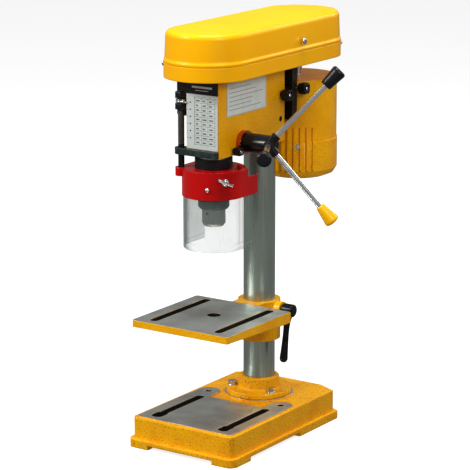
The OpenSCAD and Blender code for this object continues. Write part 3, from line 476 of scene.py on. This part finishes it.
def printed_plate(name):
    """White printed sheet, laid out in millimetres from its low corner: a plain dark band,
    depth marks every 10 mm at the left and a ruled table of plain bars."""
    paint = Paint(name, Metallic=0.25, Coat_Weight=0.4)
    low, high = (corner * 1000 for corner in node_box("front_plate"))
    x = paint.x * 1000 - float(low[0])
    z = paint.z * 1000 - float(low[2])
    width, height = float(high[0] - low[0]), float(high[2] - low[2])
    band = z > height - 22
    stripe = z.within(height - 13.5, height - 10.5) * x.within(9, width - 9)
    stripe = stripe + z.within(height - 17, height - 16) * x.within(15, width - 15)
    cell_width, cell_height, first = 11, 6.5, 0.25
    column, row = (x / cell_width - first).floor(), (z / cell_height).floor()
    cell_x, cell_z = x - (column + first) * cell_width, z - row * cell_height
    seed = paint.node("ShaderNodeCombineXYZ", {}, {0: column, 1: row})
    chance = paint.node("ShaderNodeTexWhiteNoise", {"noise_dimensions": "2D"}, {"Vector": seed})
    table = x.within(13.8, width - 2.5) * z.within(5, height - 25)
    bar = table * cell_z.within(2.2, 4.0) * (cell_x > 2.2) * (cell_x < 5.5 + chance * 4)
    rule = table * (cell_z < 0.5) + z.within(5, height - 25) * x.within(13.3, 13.8) + table * (cell_x < 0.4)
    tick = z % 10
    dot = (((x - 6.5) * (x - 6.5) + (tick - 5) * (tick - 5)) < 1.3) * z.within(10, height - 26)
    mark = z.within(10, height - 26) * x.within(1.2, 3.2) * (abs(tick - 5) < 0.3)
    grime = paint.noise(60, 4.0)
    sheet = paint.mix(grime.rises(0.4, 0.9) * 0.5, tuple(looks().sheet), shade(looks().sheet, 0.72))
    ink = (bar * 0.85 + rule * 0.7 + dot + mark).clipped() * (1 - band)
    skin = paint.mix(ink, sheet, (0.05, 0.07, 0.07))
    skin = paint.mix(band, skin, (0.012, 0.012, 0.014))
    skin = paint.mix(band * stripe.clipped(), skin, (0.75, 0.76, 0.74))
    paint.put(Base_Color=skin, Roughness=0.32 + grime * 0.14)
    paint.put(Normal=paint.bump(grime, 0.00005, paint.soft_edges(0.0004)))
    return paint.material


def ruled_label(name):
    """Pale film with a few plain ruled bars of uneven length and no lettering."""
    paint = Paint(name)
    low, high = (corner * 1000 for corner in node_box("side_plate"))
    along = paint.y * 1000 - float(low[1])
    up = paint.z * 1000 - float(low[2])
    width, height = float(high[1] - low[1]), float(high[2] - low[2])
    pitch = 6
    row = (up / pitch).floor()
    chance = paint.node("ShaderNodeTexWhiteNoise", {"noise_dimensions": "1D"}, {"W": row})
    bar = (up - row * pitch).within(2.2, 3.4) * (along > 6) * (along < width - 8 - chance * 34)
    bar = bar * up.within(5, height - 6)
    rim = 1 - along.within(1.6, width - 1.6) * up.within(1.6, height - 1.6)
    wear = paint.noise(90, 3.0)
    sheet = paint.mix(wear.rises(0.4, 0.9) * 0.5, tuple(looks().sheet), shade(looks().sheet, 0.7))
    paint.put(Base_Color=paint.mix((bar * 0.6 + rim * 0.35).clipped(), sheet, (0.14, 0.17, 0.18)))
    paint.put(Roughness=0.35 + wear * 0.2, Normal=paint.bump(wear, 0.00006))
    return paint.material


def floor_paper(name):
    """Pale matt floor with a very faint tone and an even glow, which keeps it white far off."""
    paint = Paint(name, Roughness=0.95, Specular_IOR_Level=0.1)
    paint.put(Emission_Color=(1.0, 1.0, 1.0), Emission_Strength=0.66)
    tone = paint.noise(1.5, 2.0)
    paint.put(Base_Color=paint.mix(tone, (0.36, 0.36, 0.36), (0.38, 0.38, 0.38)))
    return paint.material


# ---------------------------------------------------------------- settings


def colour_setting(name, description, default):
    """A colour of the panel."""
    limits = {"subtype": "COLOR", "size": 3, "min": 0, "max": 1}
    return FloatVectorProperty(name=name, description=description, default=default, **limits)


def length_setting(name, description, default, low, high):
    """A length of the panel, in metres."""
    limits = {"unit": "LENGTH", "min": low, "max": high}
    return FloatProperty(name=name, description=description, default=default, **limits)


def angle_setting(name, description, degrees, low, high):
    """An angle of the panel, given in degrees and limited in radians."""
    limits = {"subtype": "ANGLE", "min": low, "max": high}
    return FloatProperty(name=name, description=description, default=math.radians(degrees), **limits)


class PressColours(PropertyGroup):
    """Colours of the press."""

    enamel: colour_setting("Enamel", "Yellow enamel of castings and covers", (0.98, 0.5, 0.001))
    ground_iron: colour_setting("Ground iron", "Ground faces of the table and the base", (0.7, 0.74, 0.67))
    column_steel: colour_setting("Column steel", "Drawn tube of the column", (0.5, 0.56, 0.5))
    bright_steel: colour_setting("Bright steel", "Turned and polished parts", (0.6, 0.61, 0.61))
    hood: colour_setting("Guard hood", "Red moulding of the chuck guard", (0.56, 0.004, 0.004))
    black: colour_setting("Black mouldings", "Knobs, hub and housings", (0.012, 0.012, 0.014))
    clear_tint: colour_setting("Clear guard", "Tint of the clear guard", (0.3, 0.37, 0.33))
    sheet: colour_setting("Printed sheet", "Ground colour of the scale plate and the label", (0.74, 0.78, 0.75))


class PressCover(PropertyGroup):
    """Sizes of the belt cover."""

    edge: length_setting("Top edge", "Rounding of the lid's top edge", 0.008, 0.004, 0.02)
    crown: length_setting("Crown", "Height the lid's top rises to its middle", 0.0012, 0, 0.004)
    bead: length_setting("Bead", "How far the bead at the joint stands out", 0.0014, 0.0004, 0.003)
    wall: length_setting("Wall", "Thickness of the lid", 0.0025, 0.001, 0.004)


class PressControls(PropertyGroup):
    """Sizes of the handles and knobs."""

    lobes: IntProperty(name="Knob lobes", description="Lobes of a clamping knob", default=4, min=3, max=8)
    lobe_depth: FloatProperty(
        name="Lobe depth",
        description="Share of a knob's radius cut away between its lobes",
        default=0.2,
        min=0.05,
        max=0.35,
    )
    arm_splay: angle_setting("Arm splay", "Lean of the feed arms out from the hub's face", 31, 0, 0.8)
    lever_lean: angle_setting("Lever lean", "Lean of the table lock lever to the front", 9, -1, 1)


# ---------------------------------------------------------------- pieces


def joint_of(body):
    """The joint that moves a body."""
    return next(joint for joint in frame["joints"] if joint["child"] == body)


class PRESS_OT_belt_lid(Operator):
    """Belt cover lid with rounded top edge, bead and hinge knuckles"""

    bl_idname = "press.belt_lid"
    bl_label = "Belt Lid"

    def execute(self, context):
        size = context.scene.press_cover
        low, high = node_box("belt_lid")
        pins = node_box("lid_hinge_pins")
        radius, top = float(high[0]), float(high[2])
        front, back = float(low[1]) + radius, float(high[1]) - radius
        floor = float(node_middle("lid_hinge_pins")[2])
        brow, side, draft = top - size.crown, size.bead, 0.0012
        flat = np.linspace(radius, size.edge, 7)
        crown = size.crown * (flat - size.edge) / radius
        outer = [
            np.stack([flat, brow + crown], -1)[:-1],
            rounded((size.edge, brow), (side + draft, brow - size.edge), 12),
            [[side, floor + 0.008], [side, floor + 0.0052]],
            [[side * 0.35, floor + 0.0044], [0, floor + 0.0032], [0, floor + 0.0012], [side * 0.3, floor]],
        ]
        inner_edge, ceiling, inner_side = size.edge - 0.001, brow - size.wall, side + size.wall
        inner = [
            [[inner_side, floor], [inner_side, floor + 0.008]],
            rounded((inner_edge, ceiling), (inner_side + draft, brow - size.edge), 8)[::-1],
            np.stack([np.linspace(inner_edge, radius, 4), np.full(4, ceiling)], -1)[1:],
        ]
        profile = np.concatenate([np.array(part, float) for part in outer + inner])
        x, y = stadium(profile[:, 0], radius, front, back)
        z = np.broadcast_to(profile[:, 1][:, None], x.shape)
        grids = [np.stack([x, y, z], -1)]
        hinge_x = float(pins[0][0] + pins[1][0]) / 2
        knuckle, bore, length, chamfer = abs(float(low[0] - hinge_x)), 0.0021, 0.016, 0.0005
        barrel = [
            [bore, 0],
            [knuckle - chamfer, 0],
            [knuckle, chamfer],
            [knuckle, length - chamfer],
            [knuckle - chamfer, length],
            [bore, length],
            [bore, 0],
        ]
        pin_length = 0.0324
        for start in (float(pins[0][1]), float(pins[1][1]) - pin_length):
            grids.append(turned(barrel, (hinge_x, start, floor), (0, 1, 0), 32))
            leaf_low = (hinge_x + 0.0005, start + 0.0004, floor + 0.0026)
            leaf_high = (-radius + 0.0024, start + 0.0156, floor + 0.0085)
            grids.append(soft_block(leaf_low, leaf_high))
        enamel = pressed_enamel("lid_enamel", 0.0006)
        make_piece("cover_lid", grids, enamel, "lid", ["belt_lid"], crease=50)
        return {"FINISHED"}


class PRESS_OT_cover_studs(Operator):
    """Two small dome screws at the ends of the cover's bead"""

    bl_idname = "press.cover_studs"
    bl_label = "Cover Studs"

    def execute(self, context):
        low, high = node_box("belt_tray")
        radius = float(high[0])
        ends = (float(low[1]) + radius, float(high[1]) - radius)
        height = float(high[2]) - 0.0074
        crown = rounded((0, 0.0024), (0.0032, 0.0004), 8)[::-1][1:]
        dome = np.concatenate([[[0, -0.003], [0.0032, -0.003], [0.0032, 0.0004]], crown])
        grids = []
        for centre, angle in zip(ends, (-146, 34)):
            turn = math.radians(angle)
            way = np.array([math.cos(turn), math.sin(turn), 0])
            grids.append(turned(dome, np.array([0, centre, height]) + way * radius, way, 24))
        make_piece("cover_studs", grids, bright_plate("stud_zinc", (0.66, 0.64, 0.6)), "frame")
        return {"FINISHED"}


KNOB_DEPTH = 0.015
CLAMP_KNOBS = (
    ("motor_lock_knob_right", "motor_lock_right"),
    ("motor_lock_knob_left", "motor_lock_left"),
    ("motor_plate_knob", "motor_knob"),
    ("quill_lock_knob", "quill_lock"),
)


def lobed_knob(face, axis, radius, depth, lobes, cut):
    """Clamping knob: a turned profile with a sunk face, whose radius swells as
    1 - cut (1 - cos(lobes t)) / 2 where it is wide."""
    r, d = radius, depth
    front = [[0, d - 0.0012], [r * 0.42, d - 0.0012], [r * 0.5, d]]
    rim = rounded((r - 0.0022, d), (r, d - 0.0022), 6)
    back = [[r, 0.0045], [r - 0.0012, 0.0032], [r * 0.5, 0.0028], [r * 0.46, 0], [0, 0]]
    profile = np.concatenate([front, rim, back])

    def swell(t, rows, heights):
        share = np.clip((rows - 0.5 * r) / (0.4 * r), 0, 1)
        return 1 - share * cut * (1 - np.cos(lobes * t + math.pi)) / 2

    return turned(profile, face, axis, 96, swell)


class PRESS_OT_star_knobs(Operator):
    """Lobed clamping knobs of the motor slide, the motor plate and the quill, with their studs"""

    bl_idname = "press.star_knobs"
    bl_label = "Star Knobs"

    def execute(self, context):
        size = context.scene.press_controls
        plastic = moulding("knob_moulding", tuple(looks().black))
        stud_steel = bright_plate("knob_stud_zinc", (0.78, 0.79, 0.8))
        for node, body in CLAMP_KNOBS:
            low, high = node_box(node)
            middle = (low + high) / 2
            way = -1.0 if "left" in node else 1.0
            outer = float(high[0] if way > 0 else -low[0])
            radius = float(high[2] - low[2]) / 2
            face = np.array([way * (outer - KNOB_DEPTH), middle[1], middle[2]])
            knob = lobed_knob(face, (way, 0, 0), radius, KNOB_DEPTH, size.lobes, size.lobe_depth)
            make_piece(node.replace("knob", "star"), [knob], plastic, body, [node])
            shank = 0.0032 if node == "quill_lock_knob" else 0.0024
            back = outer - KNOB_DEPTH - (0.006 if node == "motor_plate_knob" else 0.0003)
            base = np.array([way * back, middle[1], middle[2]])
            tip = outer - back - 0.0002
            stud = [[0, 0], [shank, 0], [shank, tip - 0.0006], [shank - 0.0006, tip], [0, tip]]
            grids = [turned(stud, base, (way, 0, 0), 32)]
            make_piece(node.replace("knob", "stud"), grids, stud_steel, body)
        return {"FINISHED"}


class PRESS_OT_lid_latch(Operator):
    """Domed zinc screw that latches the cover"""

    bl_idname = "press.lid_latch"
    bl_label = "Lid Latch"

    def execute(self, context):
        low, high = node_box("lid_latch")
        middle, r = (low + high) / 2, float(high[2] - low[2]) / 2
        face = np.array([float(node_box("belt_lid")[1][0]), middle[1], middle[2]])
        depth = float(high[0]) - face[0]
        dome = rounded((0, depth), (r - 0.0002, depth - 0.0022), 8)
        side = [[r, depth - 0.0026], [r, 0.0012], [r - 0.0005, 0.0004], [0, 0.0004]]
        head = np.concatenate([dome, side])
        zinc = bright_plate("latch_zinc", (0.66, 0.64, 0.6), 0.14)
        grids = [turned(head, face, (1, 0, 0), 48)]
        make_piece("latch_screw", grids, zinc, "lid_latch", ["lid_latch"])
        return {"FINISHED"}


GRIP_START = -0.031
BLACK_GRIP = [
    [0, 0], [0.0068, 0], [0.0078, 0.0006], [0.0083, 0.0018], [0.0088, 0.008], [0.0095, 0.016], [0.0102, 0.0235],
    [0.0104, 0.0255], [0.0102, 0.0275], [0.0094, 0.029], [0.0078, 0.0298], [0.0045, 0.03], [0, 0.03],
]
YELLOW_GRIP = [
    [0, 0], [0.0048, 0], [0.0058, 0.0005], [0.0062, 0.0015], [0.0075, 0.009], [0.009, 0.017], [0.0103, 0.0235],
    [0.0106, 0.0258], [0.0104, 0.0275], [0.0094, 0.0288], [0.0072, 0.0297], [0.004, 0.03], [0, 0.03],
]


def arm_ways(splay):
    """Unit vectors of the feed arms: (sin s, cos s cos a, cos s sin a) for the angles a that
    the knob nodes lie at."""
    a = np.radians([56, 176, 296])
    return np.stack([np.full(3, math.sin(splay)), math.cos(splay) * np.cos(a), math.cos(splay) * np.sin(a)], -1)


class PRESS_OT_feed_knobs(Operator):
    """Turned end knobs of the three feed arms, two black and one yellow"""

    bl_idname = "press.feed_knobs"
    bl_label = "Feed Knobs"

    def execute(self, context):
        splay = context.scene.press_controls.arm_splay
        ways = arm_ways(splay)
        hub, hub_low = joint_of("feed")["pos_m"], node_box("feed_hub")[0]
        root = np.array([float(hub_low[0]) + 0.035, hub[1], hub[2]])
        start = 0.124 / math.cos(splay) + GRIP_START
        black = moulding("grip_moulding", tuple(looks().black), 0.18)
        grids = [turned(BLACK_GRIP, root + way * start, way, 48) for way in ways[:2]]
        make_piece("feed_grips", grids, black, "feed", ["feed_knobs"])
        yellow = moulding("grip_yellow", shade(looks().enamel, 0.95), 0.22)
        grids = [turned(YELLOW_GRIP, root + ways[2] * start, ways[2], 48)]
        make_piece("feed_grip_yellow", grids, yellow, "feed", ["feed_knob_yellow"])
        return {"FINISHED"}


class PRESS_OT_lock_lever(Operator):
    """Lever of the table lock: a hub, a waisted arm and a ball end"""

    bl_idname = "press.lock_lever"
    bl_label = "Lock Lever"

    def execute(self, context):
        lean = context.scene.press_controls.lever_lean
        high = node_box("table_lock_lever")[1]
        pivot = joint_of("table_lock")["pos_m"]
        way = np.array([0, -math.sin(lean), -math.cos(lean)])
        origin = np.array([float(high[0]) - 0.01, pivot[1], pivot[2]])
        shank, ball_at, ball_r = 0.07, 0.071, 0.0058
        ball_s = ball_at + ball_r * np.sin(np.linspace(0, np.pi / 2, 10))[1:]
        s = np.concatenate([[0.0], np.linspace(0.0, shank, 26), ball_s])
        root = 0.0026 * np.exp(-((s - 0.006) / 0.012) ** 2)
        waist = 0.0043 + root + 0.0016 * np.clip((s - 0.03) / 0.04, 0, 1) ** 1.5
        ball = 0.0059 * np.sqrt(np.clip(1 - ((s - ball_at) / ball_r) ** 2, 0, 1))
        radii = np.where(s <= shank, waist, ball)
        radii[0] = radii[-1] = 0
        arm = piped(origin + s[:, None] * way, radii, (1, 0, 0), 32)
        arm[0], arm[-1] = origin, origin + s[-1] * way
        outer_rim = rounded((0.0075, 0.01), (0.0094, 0.008), 6)
        inner_rim = rounded((0.0094, -0.0065), (0.0082, -0.008), 4)
        socket = [[0.0052, -0.008], [0.0052, 0.002], [0, 0.002]]
        hub = np.concatenate([[[0, 0.01]], outer_rim, inner_rim, socket])
        grids = [arm, turned(hub, origin, (1, 0, 0), 48)]
        black = dark_iron("lever_black", (0.012, 0.013, 0.013), 0.22)
        make_piece("lock_lever", grids, black, "table_lock", ["table_lock_lever"])
        return {"FINISHED"}


class PRESS_OT_clear_guard(Operator):
    """Clear chuck guard: a U-shaped wall with rounded rims, a ring line and ribs at its rear right"""

    bl_idname = "press.clear_guard"
    bl_label = "Clear Guard"

    def execute(self, context):
        low, high = node_box("guard_shield")
        centre_y = float(node_middle("chuck_body")[1])
        radius, tail = float(high[0]), float(high[1]) - centre_y
        bottom, top = float(low[2]), float(high[2])
        flat, bend, levels = 30, 118, 44
        straight = np.linspace(tail, 0, flat)
        t = np.linspace(0, -np.pi, bend + 2)[1:-1]
        across = np.concatenate([np.ones(flat), np.cos(t), -np.ones(flat)])
        along = np.concatenate([np.zeros(flat), np.sin(t), np.zeros(flat)])
        back = np.concatenate([straight, np.zeros(bend), straight[::-1]])
        rib = 0.0008 * (np.sin(back / 0.0058 * 2 * np.pi) > 0.35) * (back > 0.003) * (across > 0)
        height = np.linspace(bottom + 0.001, top - 0.001, levels)
        ring = 0.0009 * np.exp(-(((height - bottom - 0.0085) / 0.0011) ** 2))
        ring += 0.0012 * np.exp(-(((height - bottom) / 0.0018) ** 2))
        ribbed = (height > bottom + 0.012) & (height < top - 0.012)
        inside = 0.002 + ring
        rim = np.array([[0.0006, bottom + 0.0002], [0.0014, bottom], [0.0024, bottom + 0.0002]])
        lip = np.array([[0.0014, top - 0.0002], [0.0006, top - 0.0002]])
        inset = np.concatenate([np.zeros(levels), lip[::-1, 0], inside[::-1], rim[::-1, 0]])
        level = np.concatenate([height, lip[::-1, 1], height[::-1], rim[::-1, 1]])
        cut = np.concatenate([np.zeros(levels + len(lip)), ribbed[::-1].astype(float), np.zeros(len(rim))])
        depth = inset[None, :] + rib[:, None] * cut[None, :]
        x = (radius - depth) * across[:, None]
        y = centre_y + (radius - depth) * along[:, None] + back[:, None]
        wall = np.stack([x, y, np.broadcast_to(level, depth.shape)], -1)
        middle = wall.mean(axis=1, keepdims=True).repeat(wall.shape[1], 1)
        grids = [np.concatenate([middle[:1], wall, middle[-1:]])]
        clear = clear_moulding("clear_polycarbonate")
        make_piece("clear_guard", grids, clear, "guard", ["guard_shield"], crease=45)
        return {"FINISHED"}


class PRESS_OT_thumb_screw(Operator):
    """Slanted bar and collar of the guard's thumb screw"""

    bl_idname = "press.thumb_screw"
    bl_label = "Guard Thumb Screw"

    def execute(self, context):
        centre = node_middle("chuck_body")
        joint = joint_of("guard_screw")
        place, way = np.array(joint["pos_m"], float), np.array(joint["axis"], float)
        way = way / np.linalg.norm(way)
        if np.dot(place[:2] - centre[:2], way[:2]) < 0:
            way = -way
        up, slant = np.array([0, 0, 1.0]), math.radians(-25)
        bar_way = np.cross(up, way) * math.cos(slant) + up * math.sin(slant)
        half, r = 0.0126, 0.0021
        low_end = rounded((0, -half), (r, -half + r), 6)[1:]
        bar = np.concatenate([[[0, -half]], low_end, rounded((r, half - r), (0, half), 6)])
        bar[-1] = [0, half]
        flange = [[0, 0], [0.0045, 0], [0.005, 0.0006], [0.005, 0.0022]]
        collar = flange + [[0.0034, 0.003], [0.0026, 0.0042], [0, 0.0042]]
        grids = [turned(bar, place + way * 0.004, bar_way, 24), turned(collar, place, way, 32)]
        chrome = bright_plate("thumb_chrome", (0.86, 0.86, 0.87), 0.05)
        make_piece("thumb_screw", grids, chrome, "guard_screw", ["guard_lock_screw"])
        return {"FINISHED"}


# ---------------------------------------------------------------- finishes of the CAD nodes


def node_finishes():
    """Materials, each with the CAD nodes in sight that it is for."""
    colours = looks()
    black, steel = tuple(colours.black), tuple(colours.bright_steel)
    hood = tuple(colours.hood)
    spindle_y = float(node_middle("chuck_body")[1])
    # Slots and holes whose walls get painted shade in the table and base finishes.
    table_shaded_openings = [(x, -0.12, 0.0068, 0.0705) for x in (-0.0545, 0.0545)]
    table_shaded_openings.append((0.0, spindle_y, 0.0102, 0.0102))
    base_shaded_openings = [(x, -0.1235, 0.0092, 0.06) for x in (-0.057, 0.057)]
    base_shaded_openings += [(x, -0.039, 0.0048, 0.0048) for x in (-0.063, 0.063)]
    table_ground = (float(node_box("table")[1][2]) - 0.0004, "rings")
    base_ground = (float(node_box("column_flange")[0][2]) - 0.0018, "lines")
    rod_low, rod_high = node_box("depth_rod")
    thread = (float(rod_low[2]) + 0.045, float(rod_high[2]), 0.00125)
    zinc_nodes = ["depth_pointer", "flange_bolts", "tray_screws", "lid_hinge_pins", "motor_screws", "guard_screws"]
    bearing_nodes = ["quill_bearings", "drive_bearings", "return_spring"]
    turned_nodes = ["quill", "spindle", "drive_sleeve", "chuck_body", "motor_rotor"]
    return [
        # The base's high amount of dark specks also paints the shade on its sides.
        (cast_enamel("base_enamel_shaded", 1.8, 0.0028, base_ground, base_shaded_openings), ["base"]),
        (cast_enamel("table_enamel", 0.9, 0.0012, table_ground, table_shaded_openings), ["table"]),
        (cast_enamel("casting_enamel", 1.1), ["head_casting", "motor_bell"]),
        # The flange's high amount of dark specks also paints the shade at the foot of the column.
        (cast_enamel("flange_enamel_shaded", 2.0), ["column_flange"]),
        (cast_enamel("motor_enamel", 0.6, 0.0014), ["motor_can"]),
        (pressed_enamel("tray_enamel", 0.0022), ["belt_tray"]),
        (drawn_steel("column_tube", tuple(colours.column_steel), 0.24), ["column"]),
        (drawn_steel("quill_steel", steel, 0.2, turned_along="z"), turned_nodes),
        (drawn_steel("bearing_steel", shade(steel, 1.1), 0.16), bearing_nodes),
        (bright_plate("arm_chrome", (0.84, 0.86, 0.86), 0.16), ["feed_arms"]),
        (drawn_steel("shaft_steel", steel, 0.22, (0.03, 1, 1)), ["feed_shaft", "table_lock_screw"]),
        (drawn_steel("slide_bar_steel", steel, 0.2, (1, 0.03, 1)), ["motor_slide_bars"]),
        (bright_plate("bolt_zinc", (0.72, 0.73, 0.74), 0.16), zinc_nodes),
        (dark_iron("sleeve_black", (0.05, 0.055, 0.055), 0.26), ["chuck_sleeve"]),
        (dark_iron("jaw_black", (0.06, 0.06, 0.06), 0.3), ["chuck_jaw_1", "chuck_jaw_2", "chuck_jaw_3"]),
        (moulding("hood_red", hood, 0.16, 0.3, 0.0016), ["guard_hood"]),
        (moulding("stop_red", hood, 0.25), ["stop_button"]),
        (moulding("start_green", (0.02, 0.3, 0.05), 0.25), ["start_button"]),
        (dark_iron("rod_black", (0.014, 0.014, 0.015), 0.25, thread), ["depth_rod"]),
        (dark_iron("nut_black", (0.02, 0.02, 0.022), 0.25), ["depth_nuts", "column_set_screws", "motor_plate"]),
        (dark_iron("lug_phosphate", (0.028, 0.045, 0.043), 0.38), ["depth_lug"]),
        (moulding("collar_black", black, 0.3), ["quill_collar", "spring_housing", "switch_box", "cord_gland"]),
        (moulding("hub_black", black, 0.12, 0.2, 0.0016), ["feed_hub"]),
        (bright_plate("ring_copper", (0.62, 0.2, 0.07), 0.2), ["feed_ring"]),
        (printed_plate("scale_print"), ["front_plate"]),
        (ruled_label("label_print"), ["side_plate"]),
        (drawn_steel("pulley_alloy", (0.66, 0.67, 0.68), 0.3, turned_along="z"), ["spindle_pulley", "motor_pulley"]),
        (moulding("belt_rubber", (0.014, 0.014, 0.014), 0.6, 1.0), ["drive_belt"]),
    ]


class PRESS_OT_finishes(Operator):
    """Gives every CAD node in sight its finish"""

    bl_idname = "press.finishes"
    bl_label = "Finishes"

    def execute(self, context):
        for material, nodes in node_finishes():
            for node in nodes:
                slots = frame["nodes"][node].data.materials
                slots.clear()
                slots.append(material)
        return {"FINISHED"}


FLOOR_HALF = 9.0
GLOW = 0.22
TARGET = Vector((-0.0292, -0.0198, 0.281))
CAMERA_TURN, CAMERA_RISE, CAMERA_DISTANCE = math.radians(34.07), math.radians(13.66), 3.3265
LIGHTS = (
    ("key", (-1.5, -2.2, 2.0), 0.8, 56),
    ("top", (0.2, -0.2, 2.4), 0.9, 38),
    ("fill", (1.3, -0.7, 1.1), 0.4, 7),
    ("back", (1.0, 2.4, 1.6), 1.0, 14),
)


def add_floor(scene):
    """Level square that lights nothing but is seen and takes shadows."""
    mesh, half = bpy.data.meshes.new("floor"), FLOOR_HALF
    corners = [(-half, -half, 0), (half, -half, 0), (half, half, 0), (-half, half, 0)]
    mesh.from_pydata(corners, [], [(0, 1, 2, 3)])
    mesh.materials.append(floor_paper("floor_paper"))
    floor = bpy.data.objects.new("floor", mesh)
    scene.collection.objects.link(floor)
    floor.visible_diffuse = False
    floor.visible_glossy = False


def add_world(scene):
    """White surroundings that look bright and light the press only faintly."""
    world = bpy.data.worlds.new("studio")
    world.use_nodes = True
    tree = world.node_tree
    rays = tree.nodes.new("ShaderNodeLightPath")
    strength = tree.nodes.new("ShaderNodeMapRange")
    strength.inputs["To Min"].default_value = GLOW
    strength.inputs["To Max"].default_value = 1.0
    background = tree.nodes["Background"]
    background.inputs["Color"].default_value = (1, 1, 1, 1)
    tree.links.new(rays.outputs["Is Camera Ray"], strength.inputs["Value"])
    tree.links.new(strength.outputs["Result"], background.inputs["Strength"])
    scene.world = world


def add_lights(scene):
    """Square area lights, each turned to the middle of the press."""
    for name, place, size, power in LIGHTS:
        light = bpy.data.lights.new(name, "AREA")
        light.size, light.energy = size, power
        lamp = bpy.data.objects.new(name, light)
        lamp.location = place
        lamp.rotation_euler = (TARGET - lamp.location).to_track_quat("-Z", "Y").to_euler()
        scene.collection.objects.link(lamp)


def add_camera(scene):
    """Camera on a sphere about the target, at a turn from -Y and a rise."""
    turn, rise = CAMERA_TURN, CAMERA_RISE
    back = Vector((math.sin(turn) * math.cos(rise), -math.cos(turn) * math.cos(rise), math.sin(rise)))
    data = bpy.data.cameras.new("camera")
    data.lens, data.sensor_width = 176.1, 36.0
    data.clip_end = 50
    camera = bpy.data.objects.new("camera", data)
    camera.location = TARGET + back * CAMERA_DISTANCE
    camera.rotation_euler = (-back).to_track_quat("-Z", "Y").to_euler()
    scene.collection.objects.link(camera)
    scene.camera = camera


class PRESS_OT_stage(Operator):
    """Pale floor, soft lights and the camera"""

    bl_idname = "press.stage"
    bl_label = "Stage"

    def execute(self, context):
        scene = context.scene
        add_floor(scene)
        add_world(scene)
        add_lights(scene)
        add_camera(scene)
        scene.view_settings.view_transform = "Standard"
        scene.view_settings.look = "Medium High Contrast"
        return {"FINISHED"}


class PRESS_PT_panel(Panel):
    """Sizes, colours and building steps of the press"""

    bl_label = "Drill Press"
    bl_idname = "PRESS_PT_panel"
    bl_space_type = "VIEW_3D"
    bl_region_type = "UI"
    bl_category = "Drill Press"

    def draw(self, context):
        for group in (context.scene.press_colours, context.scene.press_cover, context.scene.press_controls):
            box = self.layout.box()
            for name in group.__annotations__:
                box.prop(group, name)
        for step in STEPS:
            self.layout.operator(step.bl_idname)


GROUPS = {"press_colours": PressColours, "press_cover": PressCover, "press_controls": PressControls}
STEPS = (
    PRESS_OT_finishes,
    PRESS_OT_belt_lid,
    PRESS_OT_cover_studs,
    PRESS_OT_star_knobs,
    PRESS_OT_lid_latch,
    PRESS_OT_feed_knobs,
    PRESS_OT_lock_lever,
    PRESS_OT_clear_guard,
    PRESS_OT_thumb_screw,
    PRESS_OT_stage,
)


def register():
    for cls in (*GROUPS.values(), *STEPS, PRESS_PT_panel):
        bpy.utils.register_class(cls)
    for name, cls in GROUPS.items():
        setattr(bpy.types.Scene, name, PointerProperty(type=cls))


def unregister():
    for name in GROUPS:
        delattr(bpy.types.Scene, name)
    for cls in (PRESS_PT_panel, *reversed(STEPS), *GROUPS.values()):
        bpy.utils.unregister_class(cls)


def main():
    """Registers the add-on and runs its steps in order."""
    register()
    for step in STEPS:
        family, name = step.bl_idname.split(".")
        getattr(getattr(bpy.ops, family), name)()


if __name__ == "__main__":
    main()
